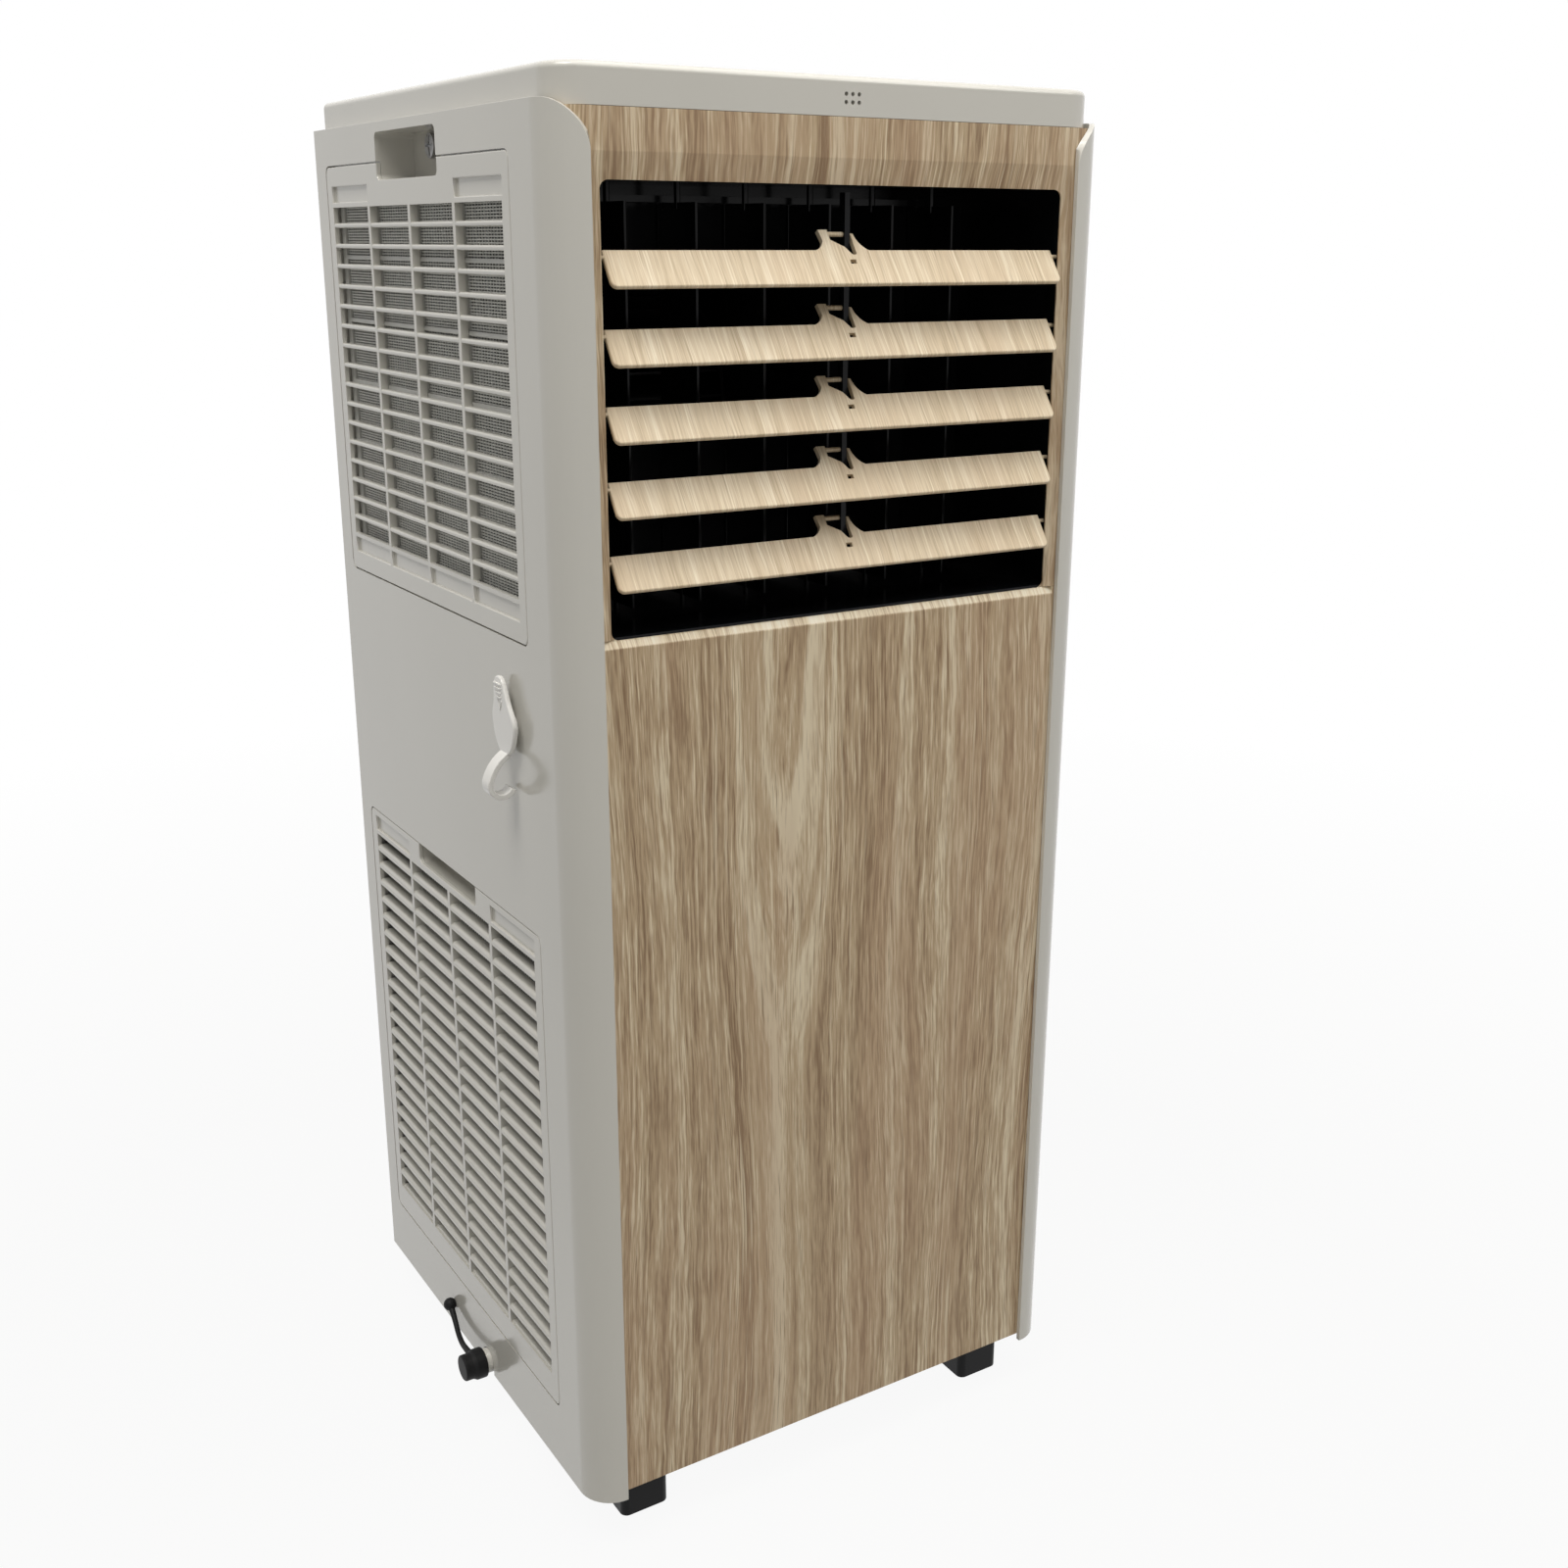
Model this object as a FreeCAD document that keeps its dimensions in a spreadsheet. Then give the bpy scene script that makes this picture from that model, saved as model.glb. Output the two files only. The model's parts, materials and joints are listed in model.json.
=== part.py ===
import FreeCAD
import Part
import math
import os
import re
import Sketcher
from FreeCAD import Placement, Rotation, Vector

# Driving sizes of the air conditioner, in millimetres, degrees and counts.
sizes = {
    # cabinet shells
    "body_width": 294.0,
    "body_depth": 296.0,
    "floor_gap": 28.0,
    "panel_height": 672.0,
    "skin": 2.5,
    "seam": 0.5,
    "seat_gap": 0.2,
    "corner_radius": 18.0,
    "wrap_flat": 0.5,
    "shoulder_radius": 21.0,
    # front panel and its outlet
    "wood_thickness": 3.0,
    "wood_lift": 3.5,
    "wood_drop": 3.0,
    "wood_wrap_angle": 70.0,
    "frame_strip": 5.8,
    "outlet_height": 190.5,
    "outlet_drop": 28.0,
    "outlet_corner": 4.0,
    "bevel_depth": 2.2,
    "bevel_side": 5.0,
    "bevel_top": 11.0,
    "sill_radius": 2.6,
    # top cover
    "cover_rise": 14.0,
    "cover_inset": 4.7,
    "cover_tuck": 3.0,
    "cover_corner": 18.0,
    "cover_back_corner": 4.0,
    "cover_edge_radius": 3.0,
    "signal_hole_radius": 0.9,
    "signal_hole_pitch": 3.4,
    "signal_hole_height": 6.0,
    # control panel
    "control_width": 168.0,
    "control_length": 52.0,
    "control_setback": 26.0,
    "control_thickness": 1.4,
    "control_ledge": 5.0,
    "control_corner": 8.0,
    "display_width": 40.0,
    "display_length": 20.0,
    "display_thickness": 1.0,
    "button_radius": 5.5,
    "button_pitch": 26.0,
    "button_row": 14.0,
    "button_rise": 1.2,
    "button_length": 7.0,
    "button_gap": 0.3,
    "button_collar": 1.6,
    "board_drop": 9.0,
    "board_thickness": 1.6,
    "board_post_radius": 3.0,
    # outlet duct
    "duct_wall": 2.0,
    "duct_margin": 0.8,
    "duct_depth": 80.0,
    # louvres
    "louvre_count": 5,
    "louvre_pitch": 32.0,
    "louvre_drop": 30.8,
    "louvre_pivot_depth": 5.3,
    "louvre_tilt": 55.7,
    "louvre_front": 14.6,
    "louvre_rear": 3.0,
    "louvre_thickness": 2.4,
    "louvre_edge_radius": 0.9,
    "louvre_corner": 3.0,
    "louvre_end_gap": 1.9,
    "louvre_pin_radius": 1.0,
    "running_gap": 0.08,
    "link_arm": 12.0,
    "link_pin_radius": 1.1,
    "link_x": 4.5,
    "link_width": 2.6,
    "link_depth": 4.4,
    "link_over": 18.0,
    "link_under": 24.0,
    # upright vanes
    "vane_count": 6,
    "vane_side": 32.7,
    "vane_chord": 36.0,
    "vane_setback": 41.0,
    "vane_thickness": 1.6,
    "vane_pin_radius": 1.5,
    "vane_foot_gap": 3.0,
    "vane_head_gap": 8.0,
    "vane_link_arm": 12.0,
    "tie_width": 5.0,
    "tie_height": 3.0,
    # grille covers
    "grille_front_inset": 40.9,
    "grille_back_inset": 16.5,
    "grille_thickness": 2.3,
    "grille_corner": 4.0,
    "grille_gap": 0.6,
    "grille_nose": 0.7,
    "grille_ledge": 6.0,
    "ledge_thickness": 2.0,
    "grid_margin": 8.0,
    "column_count": 4,
    "mullion": 3.0,
    "blank_depth": 1.5,
    "blank_rim": 2.5,
    "upper_drop": 18.8,
    "upper_foot": 20.2,
    "upper_rows": 17,
    "upper_pitch": 10.2,
    "upper_bar": 2.5,
    "upper_depth": 3.8,
    "upper_round": 1.1,
    "upper_head": 20.1,
    "lower_lift": 37.0,
    "lower_foot": 15.5,
    "lower_rows": 22,
    "lower_pitch": 10.7,
    "lower_bar": 4.6,
    "lower_depth": 6.0,
    "lower_round": 2.0,
    "lower_head": 14.6,
    # finger recesses
    "recess_offset": 1.8,
    "recess_width": 80.0,
    "recess_wall": 1.5,
    "recess_corner": 3.0,
    "upper_recess_height": 22.0,
    "upper_recess_depth": 20.0,
    "upper_notch": 8.0,
    "lower_recess_depth": 15.0,
    "lower_notch": 11.0,
    # air filter
    "filter_margin": 7.0,
    "filter_top_drop": 13.0,
    "filter_thickness": 3.0,
    "filter_rib": 2.0,
    "filter_border": 6.0,
    "filter_net": 0.8,
    "filter_rib_rows": 5,
    # hose hook
    "hook_inset": 62.0,
    "hook_drop": 18.0,
    "hook_leaf": 38.0,
    "hook_width": 25.0,
    "hook_tab_width": 13.0,
    "hook_neck_width": 8.0,
    "hook_thickness": 2.2,
    "hook_stand": 3.0,
    "hook_ring": 11.0,
    "hook_strip": 2.0,
    "hook_pad_radius": 6.0,
    # drain
    "drain_y": -9.0,
    "drain_height": 34.0,
    "drain_radius": 7.0,
    "drain_bore": 5.0,
    "drain_stand": 3.0,
    "drain_inset": 18.0,
    "plug_head_radius": 8.6,
    "plug_head_length": 12.8,
    "plug_shank": 12.0,
    "plug_fit": 0.08,
    "strap_anchor_y": 41.0,
    "strap_anchor_height": 43.0,
    "strap_ball": 3.8,
    "strap_stud": 2.2,
    "strap_radius": 1.7,
    "strap_sag": 7.0,
    # casters
    "caster_side": 33.5,
    "caster_end": 43.0,
    "caster_trail": 10.0,
    "wheel_radius": 16.0,
    "wheel_half_width": 11.2,
    "wheel_gap": 3.0,
    "wheel_round": 4.0,
    "wheel_dish": 1.5,
    "axle_radius": 3.0,
    "fork_half_web": 2.4,
    "fork_hub": 7.0,
    "hood_half_width": 13.5,
    "hood_reach": 18.0,
    "hood_floor": 4.0,
    "hood_wall": 1.5,
    "hood_corner": 4.0,
    "fork_cap_radius": 13.0,
    "fork_cap_height": 4.0,
    "fork_top": 44.0,
    "stem_radius": 5.0,
    "stem_length": 14.0,
    "boss_wall": 4.0,
    # base pan, deck and back
    "pan_floor": 46.0,
    "pan_thickness": 3.0,
    "pan_rim": 9.0,
    "deck_drop": 32.5,
    "deck_thickness": 3.0,
    "tray_rim": 12.0,
    "fit_gap": 0.3,
    "plenum_clear": 8.0,
    "exhaust_height": 215.0,
    "exhaust_bore": 66.0,
    "exhaust_wall": 2.5,
    "exhaust_flange": 8.0,
    "exhaust_flange_thickness": 2.5,
    "exhaust_length": 12.0,
    "gland_side": 44.5,
    "gland_height": 90.0,
    "gland_bore": 5.0,
    "gland_wall": 3.5,
    "gland_flange": 3.5,
    "gland_length": 14.0,
    "screw_head_radius": 4.5,
    "screw_head_height": 2.0,
    "screw_inset": 10.0,
    "screw_rows": 4,
    "recess_screw_radius": 5.8,
    "recess_screw_offset": 14.0,
    "recess_screw_drop": 6.6,
    "screw_slot": 1.2,
    # cooling parts
    "coil_gap": 14.5,
    "coil_thickness": 30.0,
    "coil_margin": 7.0,
    "coil_end_plate": 2.0,
    "evaporator_height": 219.0,
    "condenser_height": 255.0,
    "scroll_wall": 2.5,
    "blower_offset": 3.7,
    "blower_rise": 83.5,
    "blower_radius": 80.0,
    "blower_width": 115.0,
    "blower_inset": 51.0,
    "throat_height": 78.0,
    "blower_wheel_radius": 62.0,
    "blower_wheel_width": 92.0,
    "drum_overlap": 15.0,
    "fan_height": 175.0,
    "fan_radius": 82.0,
    "fan_width": 85.0,
    "fan_inset": 54.0,
    "plenum_length": 48.0,
    "plenum_margin": 6.0,
    "fan_wheel_radius": 64.0,
    "fan_wheel_width": 62.0,
    "wheel_inlet_gap": 8.0,
    "wheel_plate": 2.0,
    "wheel_blade_depth": 12.0,
    "wheel_blade": 1.2,
    "wheel_blades": 30,
    "wheel_hub": 9.0,
    "shaft_radius": 4.0,
    "motor_radius": 42.0,
    "motor_length": 48.0,
    "compressor_clear": 1.5,
    "compressor_front_gap": 6.0,
    "compressor_radius": 50.0,
    "compressor_height": 200.0,
    "compressor_dome": 18.0,
    "compressor_foot": 58.0,
    "foot_thickness": 3.0,
    "grommet_radius": 7.0,
    "grommet_height": 10.0,
    "grommet_circle": 48.0,
    "accumulator_radius": 18.0,
    "accumulator_height": 130.0,
    "accumulator_offset": 72.0,
    "pipe_radius": 4.0,
    "pipe_bend": 18.0,
    "pipe_drop": 46.0,
    "suction_drop": 21.0,
}

# Places worked out from the driving sizes.
derived = {
    "left": "-body_width / 2",
    "right": "body_width / 2",
    "front": "-body_depth / 2",
    "back": "body_depth / 2",
    "panel_top": "floor_gap + panel_height",
    "panel_edge": "right - corner_radius - wrap_flat",
    "inner_left": "left + skin",
    "inner_right": "right - skin",
    "nest": "skin + seat_gap",
    "wood_front": "front + nest",
    "wood_back": "wood_front + wood_thickness",
    "wood_bottom": "floor_gap + wood_lift",
    "wood_top": "panel_top - wood_drop",
    "outlet_half": "panel_edge - frame_strip",
    "outlet_top": "wood_top - outlet_drop",
    "outlet_sill": "outlet_top - outlet_height",
    "cover_top": "panel_top + cover_rise",
    "cover_side": "right - cover_inset",
    "cover_back": "back - skin",
    "back_front": "back - seam - skin",
    "control_front": "wood_front + control_setback",
    "control_back": "control_front + control_length",
    "control_middle": "control_front + control_length / 2",
    "board_top": "cover_top - board_drop",
    "duct_front": "wood_back + seat_gap",
    "duct_back": "duct_front + duct_depth",
    "duct_half": "outlet_half + duct_margin",
    "duct_floor": "outlet_sill - duct_margin",
    "duct_ceiling": "outlet_top + duct_margin",
    "louvre_y": "wood_front + louvre_pivot_depth",
    "louvre_top": "outlet_top - louvre_drop",
    "louvre_half": "outlet_half - louvre_end_gap",
    "link_y": "louvre_y + link_arm * cos(louvre_tilt)",
    "link_rise": "link_arm * sin(louvre_tilt)",
    "vane_pitch": "2 * (outlet_half - vane_side) / (vane_count - 1)",
    "vane_front": "duct_front + vane_setback",
    "vane_y": "vane_front + vane_chord / 2",
    "vane_foot": "duct_floor + vane_foot_gap",
    "vane_head": "duct_ceiling - vane_head_gap",
    "tie_y": "vane_y + vane_link_arm",
    "tie_floor": "vane_head + seat_gap",
    "grille_front": "front + grille_front_inset",
    "grille_back": "back - grille_back_inset",
    "grille_middle": "(grille_front + grille_back) / 2",
    "grid_front": "grille_front + grid_margin",
    "grid_back": "grille_back - grid_margin",
    "column_pitch": "(grid_back - grid_front + mullion) / column_count",
    "upper_rim": "panel_top - upper_drop",
    "upper_last": "upper_rim - upper_head",
    "upper_first": "upper_last - upper_rows * upper_pitch + blank_rim",
    "upper_sill": "upper_first - upper_foot",
    "lower_sill": "floor_gap + lower_lift",
    "lower_first": "lower_sill + lower_foot",
    "lower_last": "lower_first + lower_rows * lower_pitch - blank_rim",
    "lower_rim": "lower_last + lower_head",
    "grille_rear": "left + grille_thickness",
    "recess_middle": "grille_middle + recess_offset",
    "recess_front": "recess_middle - recess_width / 2",
    "recess_back": "recess_middle + recess_width / 2",
    "recess_screw_y": "recess_middle + recess_screw_offset",
    "upper_recess_floor": "upper_rim - upper_notch",
    "lower_recess_floor": "lower_rim - lower_notch",
    "filter_front": "grille_front + filter_margin",
    "filter_back": "grille_back - filter_margin",
    "filter_floor": "upper_sill + filter_margin",
    "filter_head": "upper_rim - filter_top_drop",
    "filter_face": "grille_rear + seat_gap",
    "hook_y": "front + hook_inset",
    "hook_neck": "upper_sill - hook_drop - hook_leaf",
    "hook_face": "left - hook_stand - hook_thickness",
    "drain_end": "left - drain_stand",
    "drain_turn": "left + drain_inset",
    "plug_face": "drain_end - seat_gap",
    "plug_end": "plug_face - plug_head_length",
    "centre_shift": "(left - plug_end) / 2",
    "caster_x": "inner_right - caster_side",
    "caster_y": "back - caster_end",
    "pan_top": "pan_floor + pan_thickness",
    "deck_height": "outlet_sill - deck_drop",
    "deck_top": "deck_height + deck_thickness",
    "deck_front": "wood_back + fit_gap",
    "deck_back": "back_front - fit_gap",
    "coil_face": "inner_left + coil_gap",
    "coil_back": "coil_face + coil_thickness",
    "coil_front_y": "grille_front + coil_margin",
    "coil_back_y": "grille_back - coil_margin",
    "tray_floor": "deck_top + fit_gap",
    "evaporator_front": "duct_back + coil_margin",
    "evaporator_top": "tray_floor + evaporator_height",
    "condenser_floor": "fork_top + stem_length + seat_gap + fit_gap",
    "condenser_top": "condenser_floor + condenser_height",
    "blower_y": "(duct_back + deck_back) / 2 + blower_offset",
    "blower_height": "outlet_sill + blower_rise",
    "blower_left": "inner_left + blower_inset",
    "blower_right": "blower_left + blower_width",
    "fan_left": "inner_left + fan_inset",
    "fan_right": "fan_left + fan_width",
    "plenum_front": "back_front - plenum_length",
    "plenum_half": "exhaust_bore + plenum_margin",
    "fan_y": "plenum_front - fan_radius + drum_overlap",
    "exhaust_x": "coil_back + plenum_clear + plenum_half",
    "gland_x": "inner_right - gland_side",
    "compressor_x": "inner_right - compressor_foot - compressor_clear",
    "compressor_y": "deck_front + compressor_foot + compressor_front_gap",
    "compressor_floor": "pan_top + fit_gap + grommet_height + seat_gap",
    "compressor_top": "compressor_floor + compressor_height",
    "pipe_level": "deck_height - pipe_drop",
    "suction_level": "deck_height - suction_drop",
    "accumulator_y": "compressor_y + accumulator_offset",
    "accumulator_x": "inner_right - accumulator_radius - coil_gap / 2",
    "accumulator_floor": "compressor_floor + grommet_circle",
    "accumulator_top": "accumulator_floor + accumulator_height",
}

doc = FreeCAD.newDocument("spot_air_conditioner")
sheet = doc.addObject("Spreadsheet::Sheet", "dims")
for row, (name, number) in enumerate(sizes.items(), start=1):
    sheet.set(f"A{row}", name)
    sheet.set(f"B{row}", str(number))
    sheet.setAlias(f"B{row}", name)
doc.recompute()

nodes = []
along = {
    "x": Rotation(Vector(0, 1, 0), 90),
    "y": Rotation(Vector(1, 0, 0), -90),
    "z": Rotation(),
}


def full(text):
    """Write a size, or a sum of sizes, as an expression on the sheet."""

    def swap(match):
        word = match.group(0)
        if word in sizes:
            return "dims." + word
        if word in derived:
            return "(" + full(derived[word]) + ")"
        return word

    return re.sub(r"[A-Za-z_]\w*", swap, str(text))


def value(text):
    """The number that a size or a sum of sizes has now."""
    return float(sheet.evalExpression(full(text)))


def bind(item, prop, text):
    item.setExpression(prop, full(text))


def put(item, spot):
    for axis, text in zip("xyz", spot):
        bind(item, "Placement.Base." + axis, text)


def box(name, x, y, z):
    """A block between a low and a high limit on each axis."""
    item = doc.addObject("Part::Box", name)
    for prop, (low, high) in zip(("Length", "Width", "Height"), (x, y, z)):
        bind(item, prop, f"({high}) - ({low})")
    put(item, (x[0], y[0], z[0]))
    return item


def rod(name, axis, radius, low, high, centre):
    """A cylinder along one axis; centre gives the other two places in order."""
    item = doc.addObject("Part::Cylinder", name)
    item.Placement = Placement(Vector(), along[axis])
    bind(item, "Radius", radius)
    bind(item, "Height", f"({high}) - ({low})")
    spot = list(centre)
    spot.insert("xyz".index(axis), low)
    put(item, spot)
    return item


def ball(name, radius, spot):
    item = doc.addObject("Part::Sphere", name)
    bind(item, "Radius", radius)
    put(item, spot)
    return item


def fuse(name, items):
    item = doc.addObject("Part::MultiFuse", name)
    item.Shapes = items
    item.Refine = True
    return item


def cut(name, base, tools):
    tool = tools[0] if len(tools) == 1 else fuse(name + "_tools", tools)
    item = doc.addObject("Part::Cut", name)
    item.Base = base
    item.Tool = tool
    item.Refine = True
    return item


def group(name, items):
    item = doc.addObject("Part::Compound", name)
    item.Links = items
    return item


def rounded(name, base, radius, wanted):
    """Round the edges of a piece that the test picks out."""
    doc.recompute()
    size = value(radius)
    picked = [i for i, edge in enumerate(base.Shape.Edges, start=1) if wanted(edge)]
    item = doc.addObject("Part::Fillet", name)
    item.Base = base
    item.Edges = [(i, size, size) for i in picked]
    return item


def runs_along(edge, axis):
    """True where a straight edge lies along an axis."""
    if edge.Curve.TypeId != "Part::GeomLine":
        return False
    way = edge.Vertexes[-1].Point - edge.Vertexes[0].Point
    way.normalize()
    return abs(abs(getattr(way, axis)) - 1.0) < 1e-6


def soft_box(name, x, y, z, axis, radius):
    """A block whose four edges along one axis are rounded."""
    block = box(name + "_block", x, y, z)
    return rounded(name, block, radius, lambda edge: runs_along(edge, axis))


def node(label, item, spot=("0", "0", "0")):
    """Name a sub-part and set it on the frame of the whole object."""
    item.Label = label
    put(item, (f"({spot[0]}) + centre_shift", spot[1], spot[2]))
    nodes.append(item)
    return item


def sketch_on(body, role, name, lift=None):
    sketch = body.newObject("Sketcher::SketchObject", name)
    plane = next(f for f in body.Origin.OriginFeatures if f.Role == role)
    sketch.AttachmentSupport = (plane, [""])
    sketch.MapMode = "FlatFace"
    if lift is not None:
        bind(sketch, "AttachmentOffset.Base.z", lift)
    return sketch


def arc_between(start, end, radius, turn):
    """The short arc from start to end, turning left (1) or right (-1)."""
    chord = end - start
    height = math.sqrt(max(radius**2 - (chord.Length / 2) ** 2, 0.0))
    side = Vector(-chord.y, chord.x, 0).normalize() * turn
    centre = (start + end) * 0.5 + side * height
    first, last = (start, end) if turn > 0 else (end, start)
    circle = Part.Circle(centre, Vector(0, 0, 1), radius)
    low = math.atan2(first.y - centre.y, first.x - centre.x)
    high = math.atan2(last.y - centre.y, last.x - centre.x)
    return Part.ArcOfCircle(circle, low, high)


def outline(sketch, corners):
    """A closed outline; a corner with a radius and a turn starts an arc."""
    spots = [Vector(value(c[0]), value(c[1]), 0) for c in corners]
    count = len(corners)
    base = len(sketch.Geometry)
    ends = []
    for i, corner in enumerate(corners):
        start = spots[i]
        end = spots[(i + 1) % count]
        if len(corner) == 2:
            sketch.addGeometry(Part.LineSegment(start, end))
            ends.append((1, 2))
        else:
            sketch.addGeometry(arc_between(start, end, value(corner[2]), corner[3]))
            ends.append((1, 2) if corner[3] > 0 else (2, 1))
    for i, corner in enumerate(corners):
        geometry = base + i
        after = (i + 1) % count
        pair = Sketcher.Constraint("Coincident", geometry, ends[i][1], base + after, ends[after][0])
        sketch.addConstraint(pair)
        for kind, axis, text, number in (
            ("DistanceX", -2, corner[0], spots[i].x),
            ("DistanceY", -1, corner[1], spots[i].y),
        ):
            if text == "0":
                sketch.addConstraint(Sketcher.Constraint("PointOnObject", geometry, ends[i][0], axis))
                continue
            rule = Sketcher.Constraint(kind, -1, 1, geometry, ends[i][0], number)
            bind(sketch, f"Constraints[{sketch.addConstraint(rule)}]", text)
        if len(corner) > 2:
            rule = Sketcher.Constraint("Radius", geometry, value(corner[2]))
            bind(sketch, f"Constraints[{sketch.addConstraint(rule)}]", corner[2])


def circle(sketch, radius, centre=("0", "0")):
    spot = Vector(value(centre[0]), value(centre[1]), 0)
    index = sketch.addGeometry(Part.Circle(spot, Vector(0, 0, 1), value(radius)))
    rule = Sketcher.Constraint("Radius", index, value(radius))
    bind(sketch, f"Constraints[{sketch.addConstraint(rule)}]", radius)
    for kind, axis, text, number in (
        ("DistanceX", -2, centre[0], spot.x),
        ("DistanceY", -1, centre[1], spot.y),
    ):
        if text == "0":
            sketch.addConstraint(Sketcher.Constraint("PointOnObject", index, 3, axis))
            continue
        rule = Sketcher.Constraint(kind, -1, 1, index, 3, number)
        bind(sketch, f"Constraints[{sketch.addConstraint(rule)}]", text)


def pad(body, sketch, name, length, both=False):
    item = body.newObject("PartDesign::Pad", name)
    item.Profile = sketch
    if both:
        item.SideType = "Symmetric"
    bind(item, "Length", length)
    sketch.Visibility = False
    return item


def pocket(body, sketch, name, length, both=False, reverse=False):
    item = body.newObject("PartDesign::Pocket", name)
    item.Profile = sketch
    if both:
        item.SideType = "Symmetric"
    item.Reversed = reverse
    bind(item, "Length", length)
    return item


def turned(name, corners):
    """A body turned about Z from a half outline of radius and height."""
    body = doc.addObject("PartDesign::Body", name)
    sketch = sketch_on(body, "XZ_Plane", name + "_profile")
    outline(sketch, corners)
    item = body.newObject("PartDesign::Revolution", name + "_turn")
    item.Profile = sketch
    item.ReferenceAxis = (sketch, ["V_Axis"])
    item.Angle = 360.0
    return body


def aim(body, axis):
    body.Placement = Placement(Vector(), along[axis])
    return body


def mirrored(hand, low, high):
    """A stretch on the right or, mirrored, on the left."""
    return (low, high) if hand > 0 else (f"-({high})", f"-({low})")


def corner_sector(name, hand, radius, angle, z):
    """A sector about the upright axis of one front corner, swept from the front face."""
    item = doc.addObject("Part::Cylinder", name)
    start = 270.0 if hand > 0 else 270.0 - value(angle)
    item.Placement = Placement(Vector(), Rotation(Vector(0, 0, 1), start))
    if hand < 0:
        bind(item, "Placement.Rotation.Angle", f"270 - ({angle})")
    bind(item, "Radius", radius)
    bind(item, "Angle", angle)
    bind(item, "Height", f"({z[1]}) - ({z[0]})")
    centre = "right - corner_radius" if hand > 0 else "-(right - corner_radius)"
    put(item, (centre, "front + corner_radius", z[0]))
    return item


def corner_shell(name, hand, inset, thickness, angle, z):
    outer = corner_sector(name + "_outer", hand, f"corner_radius - ({inset})", angle, z)
    inner = corner_sector(name + "_inner", hand, f"corner_radius - ({inset}) - ({thickness})", angle, z)
    return cut(name, outer, [inner])


def shoulder_stock(name, hand):
    """What a rounded shoulder takes off a front corner, seen along the corner's diagonal."""
    reach = "2 * corner_radius"
    size = ("0", "shoulder_radius + skin")
    block = box(name + "_block", size, (f"-({reach})", reach), size)
    crown = rod(name + "_crown", "y", "shoulder_radius", f"-({reach})", reach, ("0", "0"))
    item = cut(name, block, [crown])
    turn = -135.0 if hand > 0 else -45.0
    item.Placement = Placement(Vector(), Rotation(Vector(0, 0, 1), turn))
    run = "shoulder_radius / sqrt(2)"
    put(item, (f"{hand} * (panel_edge + {run})", f"front + {run}", "panel_top - shoulder_radius"))
    return item


def side_shell(name, hand):
    """A side wall that turns round the front corner, with its shoulder rounded off."""
    tall = ("floor_gap", "panel_top")
    wall = box(
        name + "_wall",
        mirrored(hand, "inner_right", "right"),
        ("front + corner_radius", "back - seam"),
        tall,
    )
    bend = corner_shell(name + "_bend", hand, "0", "skin", "90", tall)
    lip_x = mirrored(hand, "panel_edge", "right - corner_radius")
    lip = box(name + "_lip", lip_x, ("front", "front + skin"), tall)
    shell = fuse(name + "_shell", [wall, bend, lip])
    return cut(name + "_shaped", shell, [shoulder_stock(name + "_shoulder", hand)])


def grille_window(name, sill, rim):
    """The hole for a grille cover and the ledge behind it."""
    gap_y = ("grille_front - grille_gap", "grille_back + grille_gap")
    gap_z = (f"{sill} - grille_gap", f"{rim} + grille_gap")
    hole = soft_box(
        name + "_hole",
        ("left - skin", "inner_left"),
        gap_y,
        gap_z,
        "x",
        "grille_corner + grille_gap",
    )
    ledge_x = ("inner_left", "inner_left + ledge_thickness")
    frame = box(
        name + "_frame",
        ledge_x,
        ("grille_front - grille_ledge", "grille_back + grille_ledge"),
        (f"{sill} - grille_ledge", f"{rim} + grille_ledge"),
    )
    clear = box(
        name + "_clear",
        ("left", "inner_left + 2 * ledge_thickness"),
        ("grille_front + grille_ledge", "grille_back - grille_ledge"),
        (f"{sill} + grille_ledge", f"{rim} - grille_ledge"),
    )
    return hole, cut(name + "_ledge", frame, [clear])


def finger_recess(name, floor, height, depth):
    """The walls of a finger recess and the space inside it."""
    top = f"{floor} + {height}"
    walls = box(
        name + "_walls",
        ("inner_left", f"left + {depth} + recess_wall"),
        ("recess_front - recess_wall", "recess_back + recess_wall"),
        (f"{floor} - recess_wall", f"{top} + recess_wall"),
    )
    space = soft_box(
        name + "_space",
        ("left - skin", f"left + {depth}"),
        ("recess_front", "recess_back"),
        (floor, top),
        "x",
        "recess_corner",
    )
    return walls, space


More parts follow.
